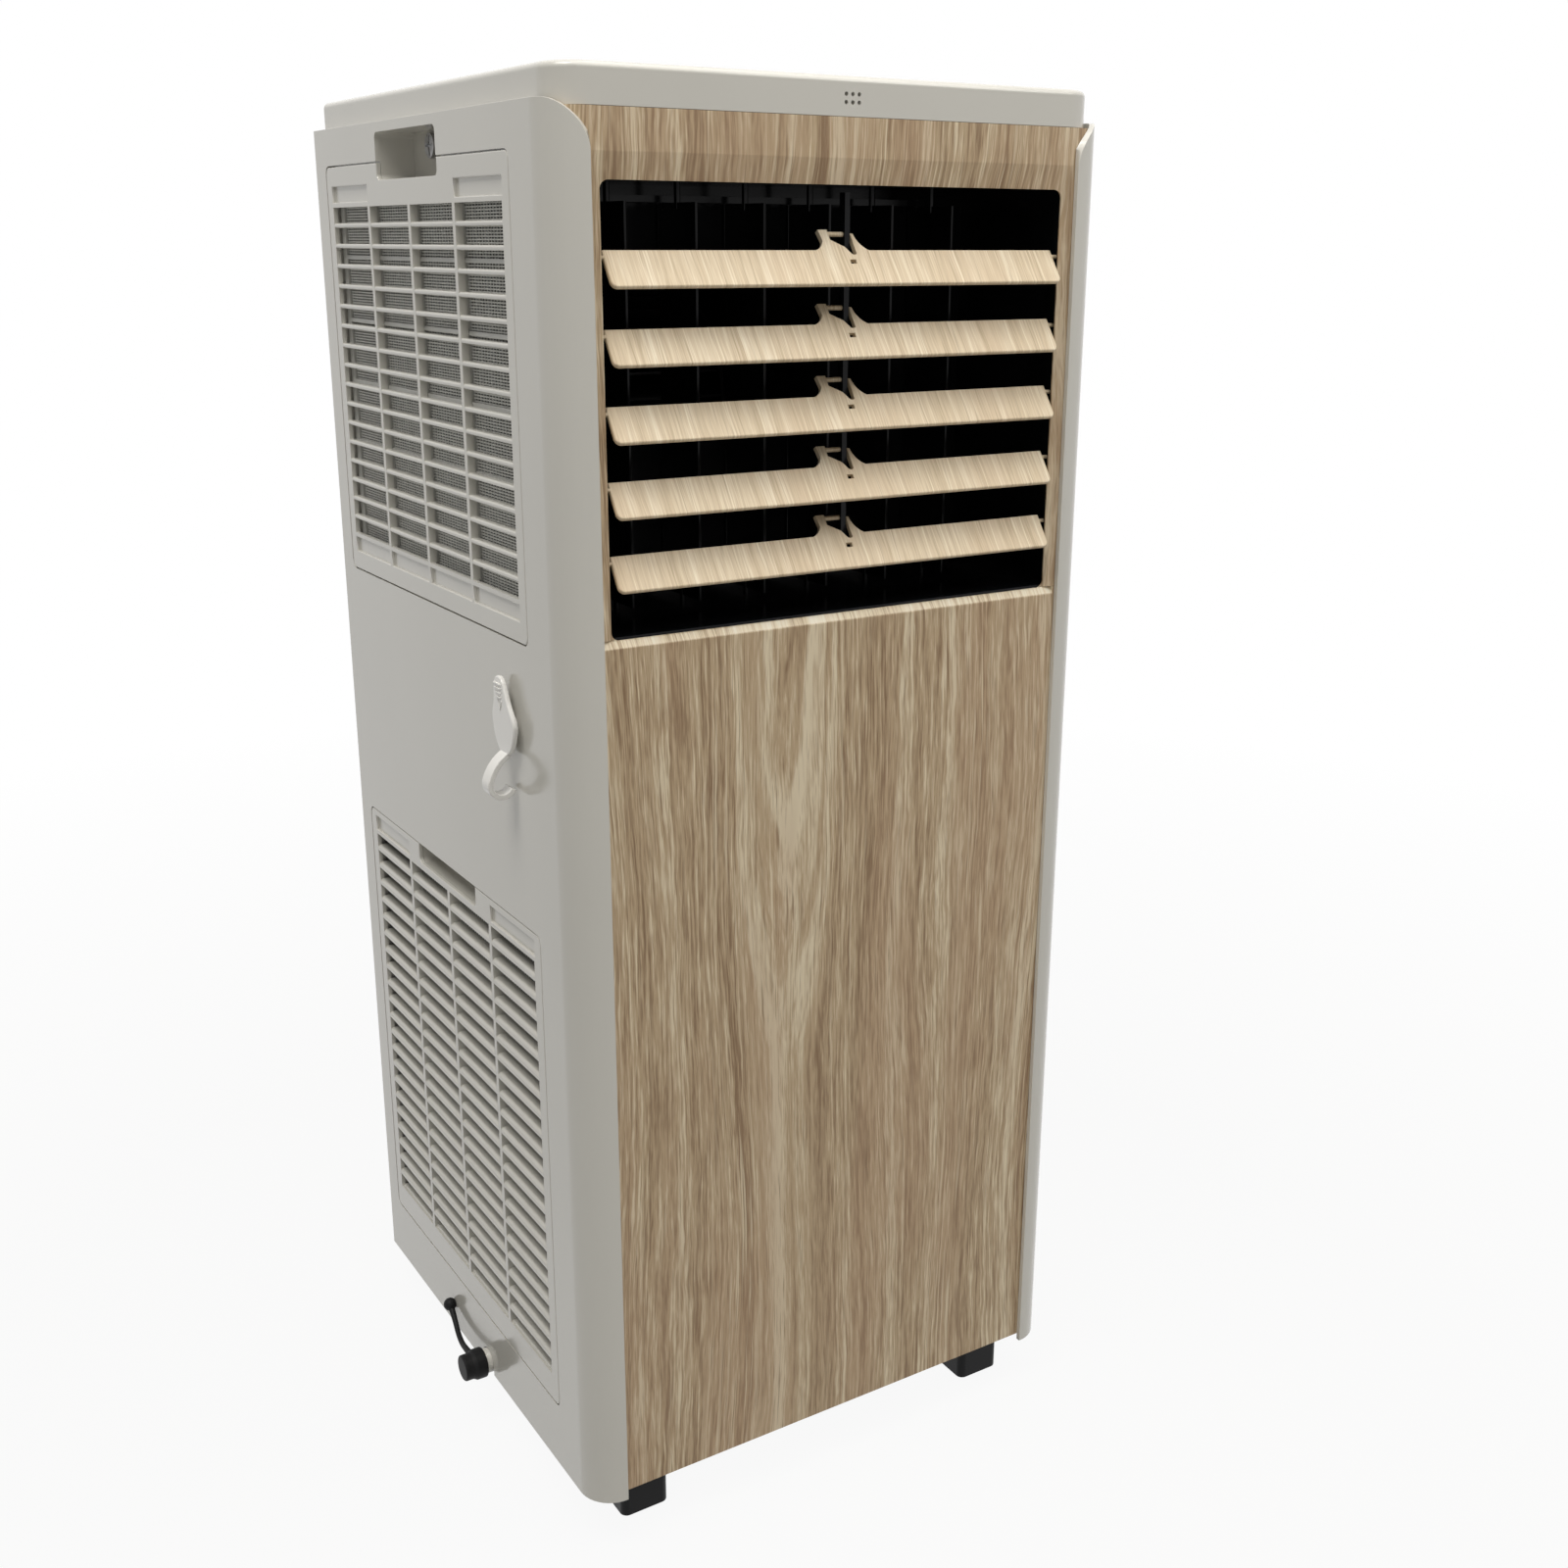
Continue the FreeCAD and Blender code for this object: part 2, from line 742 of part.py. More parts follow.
def left_side_panel():
    shell = side_shell("left_side", -1)
    upper_hole, upper_ledge = grille_window("upper_window", "upper_sill", "upper_rim")
    lower_hole, lower_ledge = grille_window("lower_window", "lower_sill", "lower_rim")
    upper_walls, upper_space = finger_recess(
        "upper_recess", "upper_recess_floor", "upper_recess_height", "upper_recess_depth"
    )
    lower_walls, lower_space = finger_recess(
        "lower_recess", "lower_recess_floor", "(lower_notch + grille_gap)", "lower_recess_depth"
    )
    holed = cut("left_side_holed", shell, [upper_hole, lower_hole])
    framed = fuse("left_side_framed", [holed, upper_ledge, lower_ledge, upper_walls, lower_walls])
    reach = ("left - skin", "inner_left + skin")
    drain_slot = box(
        "drain_slot",
        reach,
        ("drain_y - drain_radius - seam", "drain_y + drain_radius + seam"),
        ("floor_gap - skin", "drain_height"),
    )
    drain_round = rod(
        "drain_round",
        "x",
        "drain_radius + seam",
        reach[0],
        reach[1],
        ("drain_y", "drain_height"),
    )
    stud_hole = rod(
        "stud_hole",
        "x",
        "strap_stud + running_gap",
        reach[0],
        reach[1],
        ("strap_anchor_y", "strap_anchor_height"),
    )
    panel = cut(
        "left_side_panel",
        framed,
        [upper_space, lower_space, drain_slot, drain_round, stud_hole],
    )
    node("left_side_panel", panel)


def right_side_panel():
    node("right_side_panel", side_shell("right_side", 1))


def front_panel():
    tall = ("wood_bottom", "wood_top")
    span = ("-(right - corner_radius)", "right - corner_radius")
    flat = box("wood_flat", span, ("wood_front", "wood_back"), tall)
    wraps = [
        corner_shell(f"wood_wrap_{word}", hand, "nest", "wood_thickness", "wood_wrap_angle", tall)
        for word, hand in (("left", -1), ("right", 1))
    ]
    board = fuse("wood_board", [flat] + wraps)
    through = ("wood_front - skin", "wood_back + skin")
    opening = soft_box(
        "outlet_opening",
        ("-outlet_half", "outlet_half"),
        through,
        ("outlet_sill", "outlet_top"),
        "y",
        "outlet_corner",
    )
    bevel = doc.addObject("Part::Wedge", "outlet_bevel")
    for prop, text in (
        ("Xmin", "-outlet_half - bevel_side"),
        ("Xmax", "outlet_half + bevel_side"),
        ("Zmin", "outlet_sill"),
        ("Zmax", "outlet_top + bevel_top"),
        ("Ymin", "wood_front"),
        ("Ymax", "wood_front + bevel_depth"),
        ("X2min", "-outlet_half"),
        ("X2max", "outlet_half"),
        ("Z2min", "outlet_sill"),
        ("Z2max", "outlet_top"),
    ):
        bind(bevel, prop, text)
    sill_block = box(
        "sill_block",
        ("-outlet_half - bevel_side", "outlet_half + bevel_side"),
        ("wood_front - seam", "wood_front + sill_radius"),
        ("outlet_sill - sill_radius", "outlet_sill + seam"),
    )
    sill_roll = rod(
        "sill_roll",
        "x",
        "sill_radius",
        "-outlet_half - bevel_side",
        "outlet_half + bevel_side",
        ("wood_front + sill_radius", "outlet_sill - sill_radius"),
    )
    sill = cut("sill_cut", sill_block, [sill_roll])
    node("front_panel", cut("front_panel", board, [opening, bevel, sill]))


def top_cover():
    skirt_z = ("panel_top - cover_tuck", "panel_top - seam")
    skirt_side = "inner_right - seat_gap"
    body_y = ("wood_front", "cover_back")
    tuck = ("wood_back + seat_gap", "cover_back")
    skirt = box(
        "cover_skirt",
        (f"-({skirt_side})", skirt_side),
        ("front + shoulder_radius", "cover_back"),
        skirt_z,
    )
    block_z = ("wood_top + seat_gap", "cover_top")
    block = box("cover_block", ("-cover_side", "cover_side"), body_y, block_z)
    front_y = value("wood_front")
    back_y = value("cover_back")
    nose = rounded(
        "cover_nose",
        block,
        "cover_corner",
        lambda edge: runs_along(edge, "z") and edge.BoundBox.YMin < front_y + 0.01,
    )
    ends = rounded(
        "cover_ends",
        nose,
        "cover_back_corner",
        lambda edge: runs_along(edge, "z") and edge.BoundBox.YMin > back_y - 0.01,
    )
    inner_tuck = box("cover_tongue", ("-outlet_half", "outlet_half"), tuck, skirt_z)
    top_z = value("cover_top")
    crowned = rounded(
        "cover_crown",
        ends,
        "cover_edge_radius",
        lambda edge: edge.BoundBox.ZMin > top_z - 0.01,
    )
    outer = fuse("cover_outer", [skirt, crowned, inner_tuck])
    hollow = soft_box(
        "cover_hollow",
        ("-cover_side + skin", "cover_side - skin"),
        ("wood_back + seat_gap + skin", "cover_back - skin"),
        ("panel_top - cover_tuck - skin", "cover_top - skin"),
        "z",
        "cover_corner - skin",
    )
    half = "control_width / 2"
    seat = soft_box(
        "control_seat",
        (f"-{half}", half),
        ("control_front", "control_back"),
        ("cover_top - control_thickness", "cover_top + skin"),
        "z",
        "control_corner",
    )
    window = box(
        "control_window",
        (f"-{half} + control_ledge", f"{half} - control_ledge"),
        ("control_front + control_ledge", "control_back - control_ledge"),
        ("cover_top - 2 * skin", "cover_top"),
    )
    holes = []
    for row in (0, 1):
        for column in (-1, 0, 1):
            spot = (
                f"{column} * signal_hole_pitch",
                f"wood_top + signal_hole_height + {row} * signal_hole_pitch",
            )
            name = f"signal_hole_{row}_{column + 1}"
            reach = ("wood_front - skin", "wood_front + 4 * skin")
            holes.append(rod(name, "y", "signal_hole_radius", *reach, spot))
    node("top_cover", cut("top_cover", outer, [hollow, seat, window] + holes))


def control_panel():
    half = "control_width / 2 - seat_gap"
    floor = "cover_top - control_thickness + seat_gap / 2"
    plate = soft_box(
        "control_plate",
        (f"-({half})", half),
        ("control_front + seat_gap", "control_back - seat_gap"),
        (floor, "cover_top + seat_gap"),
        "z",
        "control_corner - seat_gap",
    )
    posts = []
    for hand in (-1, 1):
        for row in (-1, 1):
            spot = (
                f"{hand} * (control_width / 2 - 4 * board_post_radius)",
                f"control_middle + {row} * control_length / 4",
            )
            name = f"board_post_{hand + 1}_{row + 1}"
            reach = ("board_top + seat_gap", "cover_top - seat_gap")
            posts.append(rod(name, "z", "board_post_radius", *reach, spot))
    solid = fuse("control_solid", [plate] + posts)
    display = box(
        "display_hole",
        ("-display_width / 2 - seat_gap", "display_width / 2 + seat_gap"),
        (
            "control_back - button_row - display_length / 2",
            "control_back - button_row + display_length / 2 + 2 * seat_gap",
        ),
        ("cover_top - display_thickness", "cover_top + skin"),
    )
    holes = []
    for index in range(5):
        spot = (f"{index - 2} * button_pitch", "control_front + button_row")
        holes.append(
            rod(
                f"button_hole_{index + 1}",
                "z",
                "button_radius + button_gap",
                "cover_top - 4 * skin",
                "cover_top + skin",
                spot,
            )
        )
    node("control_panel", cut("control_panel", solid, [display] + holes))
    glass = soft_box(
        "display_window",
        ("-display_width / 2", "display_width / 2"),
        (
            "control_back - button_row - display_length / 2 + seat_gap",
            "control_back - button_row + display_length / 2 + seat_gap",
        ),
        ("cover_top - display_thickness + seat_gap / 2", "cover_top + seat_gap"),
        "z",
        "seam",
    )
    node("display_window", glass)
    for index in range(5):
        cap = turned(
            f"button_{index + 1}",
            [
                ("0", "-button_length"),
                ("button_radius - button_collar", "-button_length"),
                ("button_radius", "-button_length + button_collar"),
                ("button_radius", "button_rise - button_gap"),
                ("button_radius - button_gap", "button_rise"),
                ("0", "button_rise - button_gap"),
            ],
        )
        node(
            f"button_{index + 1}",
            cap,
            (f"{index - 2} * button_pitch", "control_front + button_row", "cover_top"),
        )
    board = box(
        "board_plate",
        ("-control_width / 2 + board_post_radius", "control_width / 2 - board_post_radius"),
        ("control_front + board_post_radius", "control_back - board_post_radius"),
        ("board_top - board_thickness", "board_top"),
    )
    chip = box(
        "board_chip",
        ("-button_pitch", "button_pitch"),
        ("control_middle - button_radius", "control_middle + button_radius"),
        ("board_top - 2 * board_thickness", "board_top - board_thickness"),
    )
    node("control_board", fuse("control_board", [board, chip]))


def louvre_z(index):
    return f"louvre_top - {index} * louvre_pitch"


def vane_x(index):
    return f"({index} - (vane_count - 1) / 2) * vane_pitch"


def outlet_duct():
    outer = box(
        "duct_outer",
        ("-duct_half - duct_wall", "duct_half + duct_wall"),
        ("duct_front", "duct_back"),
        ("duct_floor - duct_wall", "duct_ceiling + duct_wall"),
    )
    hollow = box(
        "duct_hollow",
        ("-duct_half", "duct_half"),
        ("duct_front - skin", "duct_back - duct_wall"),
        ("duct_floor", "duct_ceiling"),
    )
    mouth = box(
        "duct_mouth",
        ("blower_left + scroll_wall", "blower_right - scroll_wall"),
        ("duct_back - 2 * duct_wall", "duct_back + skin"),
        ("blower_height + scroll_wall", "blower_height + throat_height"),
    )
    holes = []
    for index in range(int(sizes["louvre_count"])):
        reach = "duct_half + 2 * duct_wall"
        spot = ("louvre_y", louvre_z(index))
        name = f"louvre_hole_{index + 1}"
        holes.append(rod(name, "x", "louvre_pin_radius + running_gap", f"-({reach})", reach, spot))
    for index in range(int(sizes["vane_count"])):
        spot = (vane_x(index), "vane_y")
        name = f"vane_hole_{index + 1}"
        low = "duct_floor - 2 * duct_wall"
        high = "duct_ceiling + 2 * duct_wall"
        holes.append(rod(name, "z", "vane_pin_radius + running_gap", low, high, spot))
    node("outlet_duct", cut("outlet_duct", outer, [hollow, mouth] + holes))


def louvre(index):
    """A tilted blade with end pins and a forked arm; its pivot is its own origin."""
    name = f"louvre_{index + 1}"
    body = doc.addObject("PartDesign::Body", name)
    blade = sketch_on(body, "XY_Plane", name + "_blade")
    notch = "link_width / 2 + seat_gap * 4"
    outline(
        blade,
        [
            ("-louvre_half", "-louvre_front + louvre_corner", "louvre_corner", 1),
            ("-louvre_half + louvre_corner", "-louvre_front"),
            ("louvre_half - louvre_corner", "-louvre_front", "louvre_corner", 1),
            ("louvre_half", "-louvre_front + louvre_corner"),
            ("louvre_half", "louvre_rear"),
            ("link_x + link_arm * 0.8", "louvre_rear", "link_arm * 0.9", -1),
            (f"link_x + {notch} + link_width * 0.6", "louvre_rear + link_arm * 0.72"),
            (f"link_x + {notch}", "louvre_rear + link_arm * 0.74"),
            (f"link_x + {notch}", "louvre_rear * 0.4", f"{notch}", -1),
            (f"link_x - {notch}", "louvre_rear * 0.4"),
            (f"link_x - {notch} - link_width", "louvre_rear * 1.6"),
            ("link_x - link_arm * 0.8", "link_arm * 0.7"),
            ("link_x - link_arm * 0.8", "link_arm + link_pin_radius * 1.5"),
            ("link_x - link_arm * 1.22", "link_arm + link_pin_radius * 1.5"),
            ("link_x - link_arm * 1.16", "louvre_rear + link_arm * 0.4", "link_arm * 0.7", -1),
            ("link_x - link_arm * 1.6", "louvre_rear"),
            ("-louvre_half", "louvre_rear"),
        ],
    )
    plate = pad(body, blade, name + "_plate", "louvre_thickness", both=True)
    ends = sketch_on(body, "YZ_Plane", name + "_pin_end")
    circle(ends, "louvre_pin_radius")
    pins = pad(body, ends, name + "_pins", "2 * (duct_half + duct_wall)", both=True)
    arm_end = sketch_on(body, "YZ_Plane", name + "_arm_end", "link_x - link_arm")
    circle(arm_end, "link_pin_radius", ("link_arm", "0"))
    pad(body, arm_end, name + "_arm_pin", "link_arm + link_width / 2 + seat_gap")
    slot = sketch_on(body, "XY_Plane", name + "_slot")
    outline(
        slot,
        [
            ("link_x - link_width", "-louvre_rear * 1.3"),
            ("link_x + link_width / 4", "-louvre_rear * 1.3"),
            ("link_x + link_width / 4", "-louvre_rear * 0.6"),
            ("link_x - link_width", "-louvre_rear * 0.6"),
        ],
    )
    pocket(body, slot, name + "_slot_cut", "2 * louvre_thickness", both=True)
    doc.recompute()
    front_edge = -value("louvre_front") + value("louvre_corner") + 0.01
    tip = body.Tip
    picked = []
    for number, edge in enumerate(tip.Shape.Edges, start=1):
        limits = edge.BoundBox
        flat = limits.ZLength < 1e-6 and abs(abs(limits.ZMax) - value("louvre_thickness") / 2) < 1e-6
        if flat and limits.YMax < front_edge:
            picked.append(f"Edge{number}")
    soft = body.newObject("PartDesign::Fillet", name + "_soft_edge")
    soft.Base = (tip, picked)
    bind(soft, "Radius", "louvre_edge_radius")
    body.Placement = Placement(Vector(), Rotation(Vector(1, 0, 0), sizes["louvre_tilt"]))
    bind(body, "Placement.Rotation.Angle", "louvre_tilt")
    node(name, body, ("0", "louvre_y", louvre_z(index)))


def louvre_link_rod():
    count = int(sizes["louvre_count"])
    bar = box(
        "link_bar",
        ("link_x - link_width / 2", "link_x + link_width / 2"),
        ("link_y - link_depth / 2", "link_y + link_depth / 2"),
        (f"{louvre_z(count - 1)} + link_rise - link_under", "louvre_top + link_rise + link_over"),
    )
    holes = []
    for index in range(count):
        spot = ("link_y", f"{louvre_z(index)} + link_rise")
        low = "link_x - link_width"
        high = "link_x + link_width"
        name = f"link_hole_{index + 1}"
        holes.append(rod(name, "x", "link_pin_radius + running_gap", low, high, spot))
    node("louvre_link_rod", cut("louvre_link_rod", bar, holes))


def vane(index):
    name = f"vane_{index + 1}"
    x = vane_x(index)
    blade = soft_box(
        name + "_blade",
        (f"{x} - vane_thickness / 2", f"{x} + vane_thickness / 2"),
        ("vane_front", "vane_front + vane_chord"),
        ("vane_foot", "vane_head"),
        "z",
        "vane_thickness * 0.4",
    )
    middle = (x, "vane_y")
    foot = rod(
        name + "_foot",
        "z",
        "vane_pin_radius",
        "duct_floor - duct_wall",
        "vane_foot + vane_foot_gap",
        middle,
    )
    head = rod(
        name + "_head",
        "z",
        "vane_pin_radius",
        "vane_head - vane_foot_gap",
        "duct_ceiling + duct_wall",
        middle,
    )
    link = rod(
        name + "_link",
        "z",
        "link_pin_radius",
        "vane_head - vane_foot_gap",
        "tie_floor + tie_height + seat_gap",
        (x, "tie_y"),
    )
    node(name, fuse(name, [blade, foot, head, link]))


def vane_tie_bar():
    last = int(sizes["vane_count"]) - 1
    bar = soft_box(
        "tie_bar_bar",
        (f"{vane_x(0)} - tie_width", f"{vane_x(last)} + tie_width"),
        ("tie_y - tie_width / 2", "tie_y + tie_width / 2"),
        ("tie_floor", "tie_floor + tie_height"),
        "z",
        "tie_width * 0.4",
    )
    holes = []
    for index in range(last + 1):
        spot = (vane_x(index), "tie_y")
        low = "tie_floor - skin"
        high = "tie_floor + tie_height + skin"
        name = f"tie_hole_{index + 1}"
        holes.append(rod(name, "z", "link_pin_radius + running_gap", low, high, spot))
    node("vane_tie_bar", cut("vane_tie_bar", bar, holes))


def column_y(column):
    low = f"grid_front + {column} * column_pitch"
    return (low, f"{low} + column_pitch - mullion")


def grille_cover(zone, blanks):
    """A flush cover with columns of openings between bars, and a finger notch on top."""
    label = zone + "_grille"
    sill = zone + "_sill"
    rim = zone + "_rim"
    first = zone + "_first"
    last = zone + "_last"
    pitch = zone + "_pitch"
    depth = f"left + {zone}_depth"
    plate = soft_box(
        label + "_plate",
        ("left", "grille_rear"),
        ("grille_front", "grille_back"),
        (sill, rim),
        "x",
        "grille_corner",
    )
    outer_x = value("left")
    faced = rounded(
        label + "_faced",
        plate,
        "grille_nose",
        lambda edge: edge.BoundBox.XMax < outer_x + 0.01,
    )
    cuts = []
    for column in range(int(sizes["column_count"])):
        name = f"{label}_column_{column + 1}"
        cuts.append(box(name, ("left - skin", "inner_left"), column_y(column), (first, last)))
    for place, column in blanks:
        name = f"{label}_blank_{place}_{column + 1}"
        low = f"{first} - {pitch}" if place == "foot" else f"{last} + blank_rim"
        cell = (low, f"{low} + {pitch} - blank_rim")
        cuts.append(box(name, ("left - skin", "left + blank_depth"), column_y(column), cell))
    cuts.append(
        soft_box(
            label + "_notch",
            ("left - skin", "inner_left"),
            ("recess_front", "recess_back"),
            (f"{rim} - {zone}_notch", f"{rim} + 2 * recess_corner"),
            "x",
            "recess_corner",
        )
    )
    sheet_part = cut(label + "_sheet", faced, cuts)
    bars = []
    for row in range(1, int(sizes[zone + "_rows"])):
        middle = f"{first} + {row} * {pitch} - blank_rim / 2"
        name = f"{label}_bar_{row}"
        block = box(
            name,
            ("left", depth),
            ("grid_front", "grid_back"),
            (f"{middle} - {zone}_bar / 2", f"{middle} + {zone}_bar / 2"),
        )
        bars.append(
            rounded(
                name + "_soft",
                block,
                zone + "_round",
                lambda edge: runs_along(edge, "y") and edge.BoundBox.XMax < outer_x + 0.01,
            )
        )
    uprights = []
    for column in range(1, int(sizes["column_count"])):
        high = f"grid_front + {column} * column_pitch"
        name = f"{label}_mullion_{column}"
        sides = (f"{high} - mullion", high)
        uprights.append(box(name, (f"left + {zone}_round", depth), sides, (first, last)))
    node(label, fuse(label, [sheet_part] + bars + uprights))


def filter_screen():
    faces = (
        "filter_face + upper_depth - grille_thickness",
        "filter_face + upper_depth - grille_thickness + filter_thickness",
    )
    spread = ("filter_front", "filter_back")
    tall = ("filter_floor", "filter_head")
    outer = box("filter_outer", faces, spread, tall)
    inner = box(
        "filter_inner",
        ("left", "inner_left + coil_gap"),
        ("filter_front + filter_border", "filter_back - filter_border"),
        ("filter_floor + filter_border", "filter_head - filter_border"),
    )
    border = cut("filter_border_ring", outer, [inner])
    ribs = []
    for column in range(1, int(sizes["column_count"])):
        middle = f"grid_front + {column} * column_pitch - mullion / 2"
        sides = (f"{middle} - filter_rib / 2", f"{middle} + filter_rib / 2")
        ribs.append(box(f"filter_upright_{column}", faces, sides, tall))
    rows = int(sizes["filter_rib_rows"])
    for row in range(1, rows + 1):
        middle = f"filter_floor + {row} * (filter_head - filter_floor) / (filter_rib_rows + 1)"
        level = (f"{middle} - filter_rib / 2", f"{middle} + filter_rib / 2")
        ribs.append(box(f"filter_rib_{row}", faces, spread, level))
    lugs = []
    for row, level in (("foot", "filter_floor"), ("head", "filter_head - filter_border")):
        for side, low in (("front", "filter_front"), ("back", "filter_back - filter_border")):
            lugs.append(
                box(
                    f"filter_lug_{row}_{side}",
                    ("filter_face", faces[1]),
                    (low, f"{low} + filter_border / 6"),
                    (level, f"{level} + filter_border"),
                )
            )
    ring = fuse("filter_frame_solid", [border] + ribs + lugs)
    net_x = (
        f"{faces[1]} - filter_thickness / 2 - filter_net / 2",
        f"{faces[1]} - filter_thickness / 2 + filter_net / 2",
    )
    groove = box(
        "filter_groove",
        net_x,
        ("filter_front + filter_border / 2", "filter_back - filter_border / 2"),
        ("filter_floor + filter_border / 2", "filter_head - filter_border / 2"),
    )
    node("filter_frame", cut("filter_frame", ring, [groove]))
    slack = "seat_gap / 4"
    net = soft_box(
        "filter_mesh",
        (f"{net_x[0]} + {slack}", f"{net_x[1]} - {slack}"),
        ("filter_front + filter_border / 2 + seat_gap", "filter_back - filter_border / 2 - seat_gap"),
        ("filter_floor + filter_border / 2 + seat_gap", "filter_head - filter_border / 2 - seat_gap"),
        "x",
        "seam",
    )
    node("filter_mesh", net)


def hose_hook():
    """A leaf-shaped plate on a pad, with a strip that curls out and back below it."""
    body = doc.addObject("PartDesign::Body", "hose_hook_leaf")
    leaf = sketch_on(body, "YZ_Plane", "hook_leaf_outline", "hook_face")
    outline(
        leaf,
        [
            ("-hook_neck_width / 2", "0"),
            ("hook_neck_width / 2", "0", "hook_leaf * 0.5", 1),
            ("hook_width / 2", "hook_leaf * 0.36", "hook_leaf", 1),
            ("hook_tab_width / 2", "hook_leaf - hook_tab_width / 2", "hook_tab_width / 2", 1),
            ("0", "hook_leaf", "hook_tab_width / 2", 1),
            ("-hook_tab_width / 2", "hook_leaf - hook_tab_width / 2", "hook_leaf", 1),
            ("-hook_width / 2", "hook_leaf * 0.36", "hook_leaf * 0.5", 1),
        ],
    )
    pad(body, leaf, "hook_leaf_plate", "hook_thickness")
    put(body, ("0", "hook_y", "hook_neck"))
    pad_spot = ("hook_y", "hook_neck + hook_leaf * 0.36")
    base = rod("hook_pad", "x", "hook_pad_radius", "hook_face + hook_thickness / 2", "left", pad_spot)
    ribs = []
    for index in range(4):
        level = f"hook_neck + hook_leaf * (0.78 + {index} * 0.05)"
        half = "hook_tab_width * 0.32"
        ribs.append(
            box(
                f"hook_rib_{index + 1}",
                ("hook_face - hook_strip / 4", "hook_face + hook_thickness / 2"),
                (f"hook_y - {half}", f"hook_y + {half}"),
                (level, f"{level} + hook_strip / 3"),
            )
        )
    middle_x = "hook_face + hook_strip / 2"
    centre = (middle_x, "hook_neck - hook_ring + hook_strip")
    wide = ("hook_y - hook_neck_width / 2", "hook_y + hook_neck_width / 2")
    outer = doc.addObject("Part::Cylinder", "hook_ring_outer")
    inner = doc.addObject("Part::Cylinder", "hook_ring_inner")
    for item, radius in ((outer, "hook_ring"), (inner, "hook_ring - hook_strip")):
        item.Placement = Placement(Vector(), along["y"])
        bind(item, "Radius", radius)
        bind(item, "Height", "hook_neck_width")
        put(item, (centre[0], wide[0], centre[1]))
    mouth = box(
        "hook_mouth",
        ("hook_face + hook_thickness", "inner_left"),
        ("hook_y - hook_width", "hook_y + hook_width"),
        (f"{centre[1]} - hook_ring * 0.6", f"{centre[1]} + hook_ring + hook_strip"),
    )
    ring = cut("hook_ring_open", outer, [inner, mouth])
    trim = box(
        "hook_trim",
        ("left - seam", "inner_left + hook_ring"),
        ("hook_y - hook_width", "hook_y + hook_width"),
        ("hook_neck - 3 * hook_ring", "hook_neck"),
    )
    strip = cut("hook_ring_strip", ring, [trim])
    node("hose_hook", fuse("hose_hook", [body, base, strip] + ribs))


def drain():
    drop = rod(
        "drain_drop",
        "z",
        "drain_radius",
        "drain_height",
        "pan_floor",
        ("drain_turn", "drain_y"),
    )
    run = rod("drain_run", "x", "drain_radius", "drain_end", "drain_turn", ("drain_y", "drain_height"))
    elbow = ball("drain_elbow", "drain_radius", ("drain_turn", "drain_y", "drain_height"))
    pipe = fuse("drain_pipe", [drop, run, elbow])
    bore_drop = rod(
        "drain_bore_drop",
        "z",
        "drain_bore",
        "drain_height",
        "pan_floor + skin",
        ("drain_turn", "drain_y"),
    )
    bore_run = rod(
        "drain_bore_run",
        "x",
        "drain_bore",
        "drain_end - skin",
        "drain_turn",
        ("drain_y", "drain_height"),
    )
    node("drain_spigot", cut("drain_spigot", pipe, [bore_drop, bore_run]))
    shank = "drain_bore - plug_fit"
    plug = turned(
        "drain_plug",
        [
            ("0", "-plug_shank"),
            (f"{shank} - seam", "-plug_shank"),
            (shank, "-plug_shank + seam"),
            (shank, "0"),
            ("plug_head_radius - seam", "0"),
            ("plug_head_radius", "seam"),
            ("plug_head_radius", "plug_head_length * 0.45"),
            ("plug_head_radius * 0.86", "plug_head_length * 0.62"),
            ("plug_head_radius * 0.86", "plug_head_length - 2 * seam", "2 * seam", 1),
            ("plug_head_radius * 0.86 - 2 * seam", "plug_head_length"),
            ("0", "plug_head_length"),
        ],
    )
    plug.Placement = Placement(Vector(), Rotation(Vector(0, 1, 0), -90))
    node("drain_plug", plug, ("plug_face", "drain_y", "drain_height"))


def bent_tube(spots, radius, bend):
    """A round tube along straight runs joined by tangent arcs."""
    edges = []
    start = spots[0]
    for before, corner, after in zip(spots, spots[1:], spots[2:]):
        way_in = (corner - before).normalize()
        way_out = (after - corner).normalize()
        turn = math.acos(max(-1.0, min(1.0, way_in.dot(way_out))))
        setback = bend * math.tan(turn / 2)
        first = corner - way_in * setback
        last = corner + way_out * setback
        inward = (way_out - way_in).normalize()
        centre = corner + inward * (bend / math.cos(turn / 2))
        middle = centre - inward * bend
        edges.append(Part.LineSegment(start, first).toShape())
        edges.append(Part.Arc(first, middle, last).toShape())
        start = last
    edges.append(Part.LineSegment(start, spots[-1]).toShape())
    path = Part.Wire(edges)
    ring = Part.Wire([Part.Circle(spots[0], (spots[1] - spots[0]).normalize(), radius).toShape()])
    return path.makePipeShell([ring], True, True)


def spot(*texts):
    return Vector(*[value(text) for text in texts])


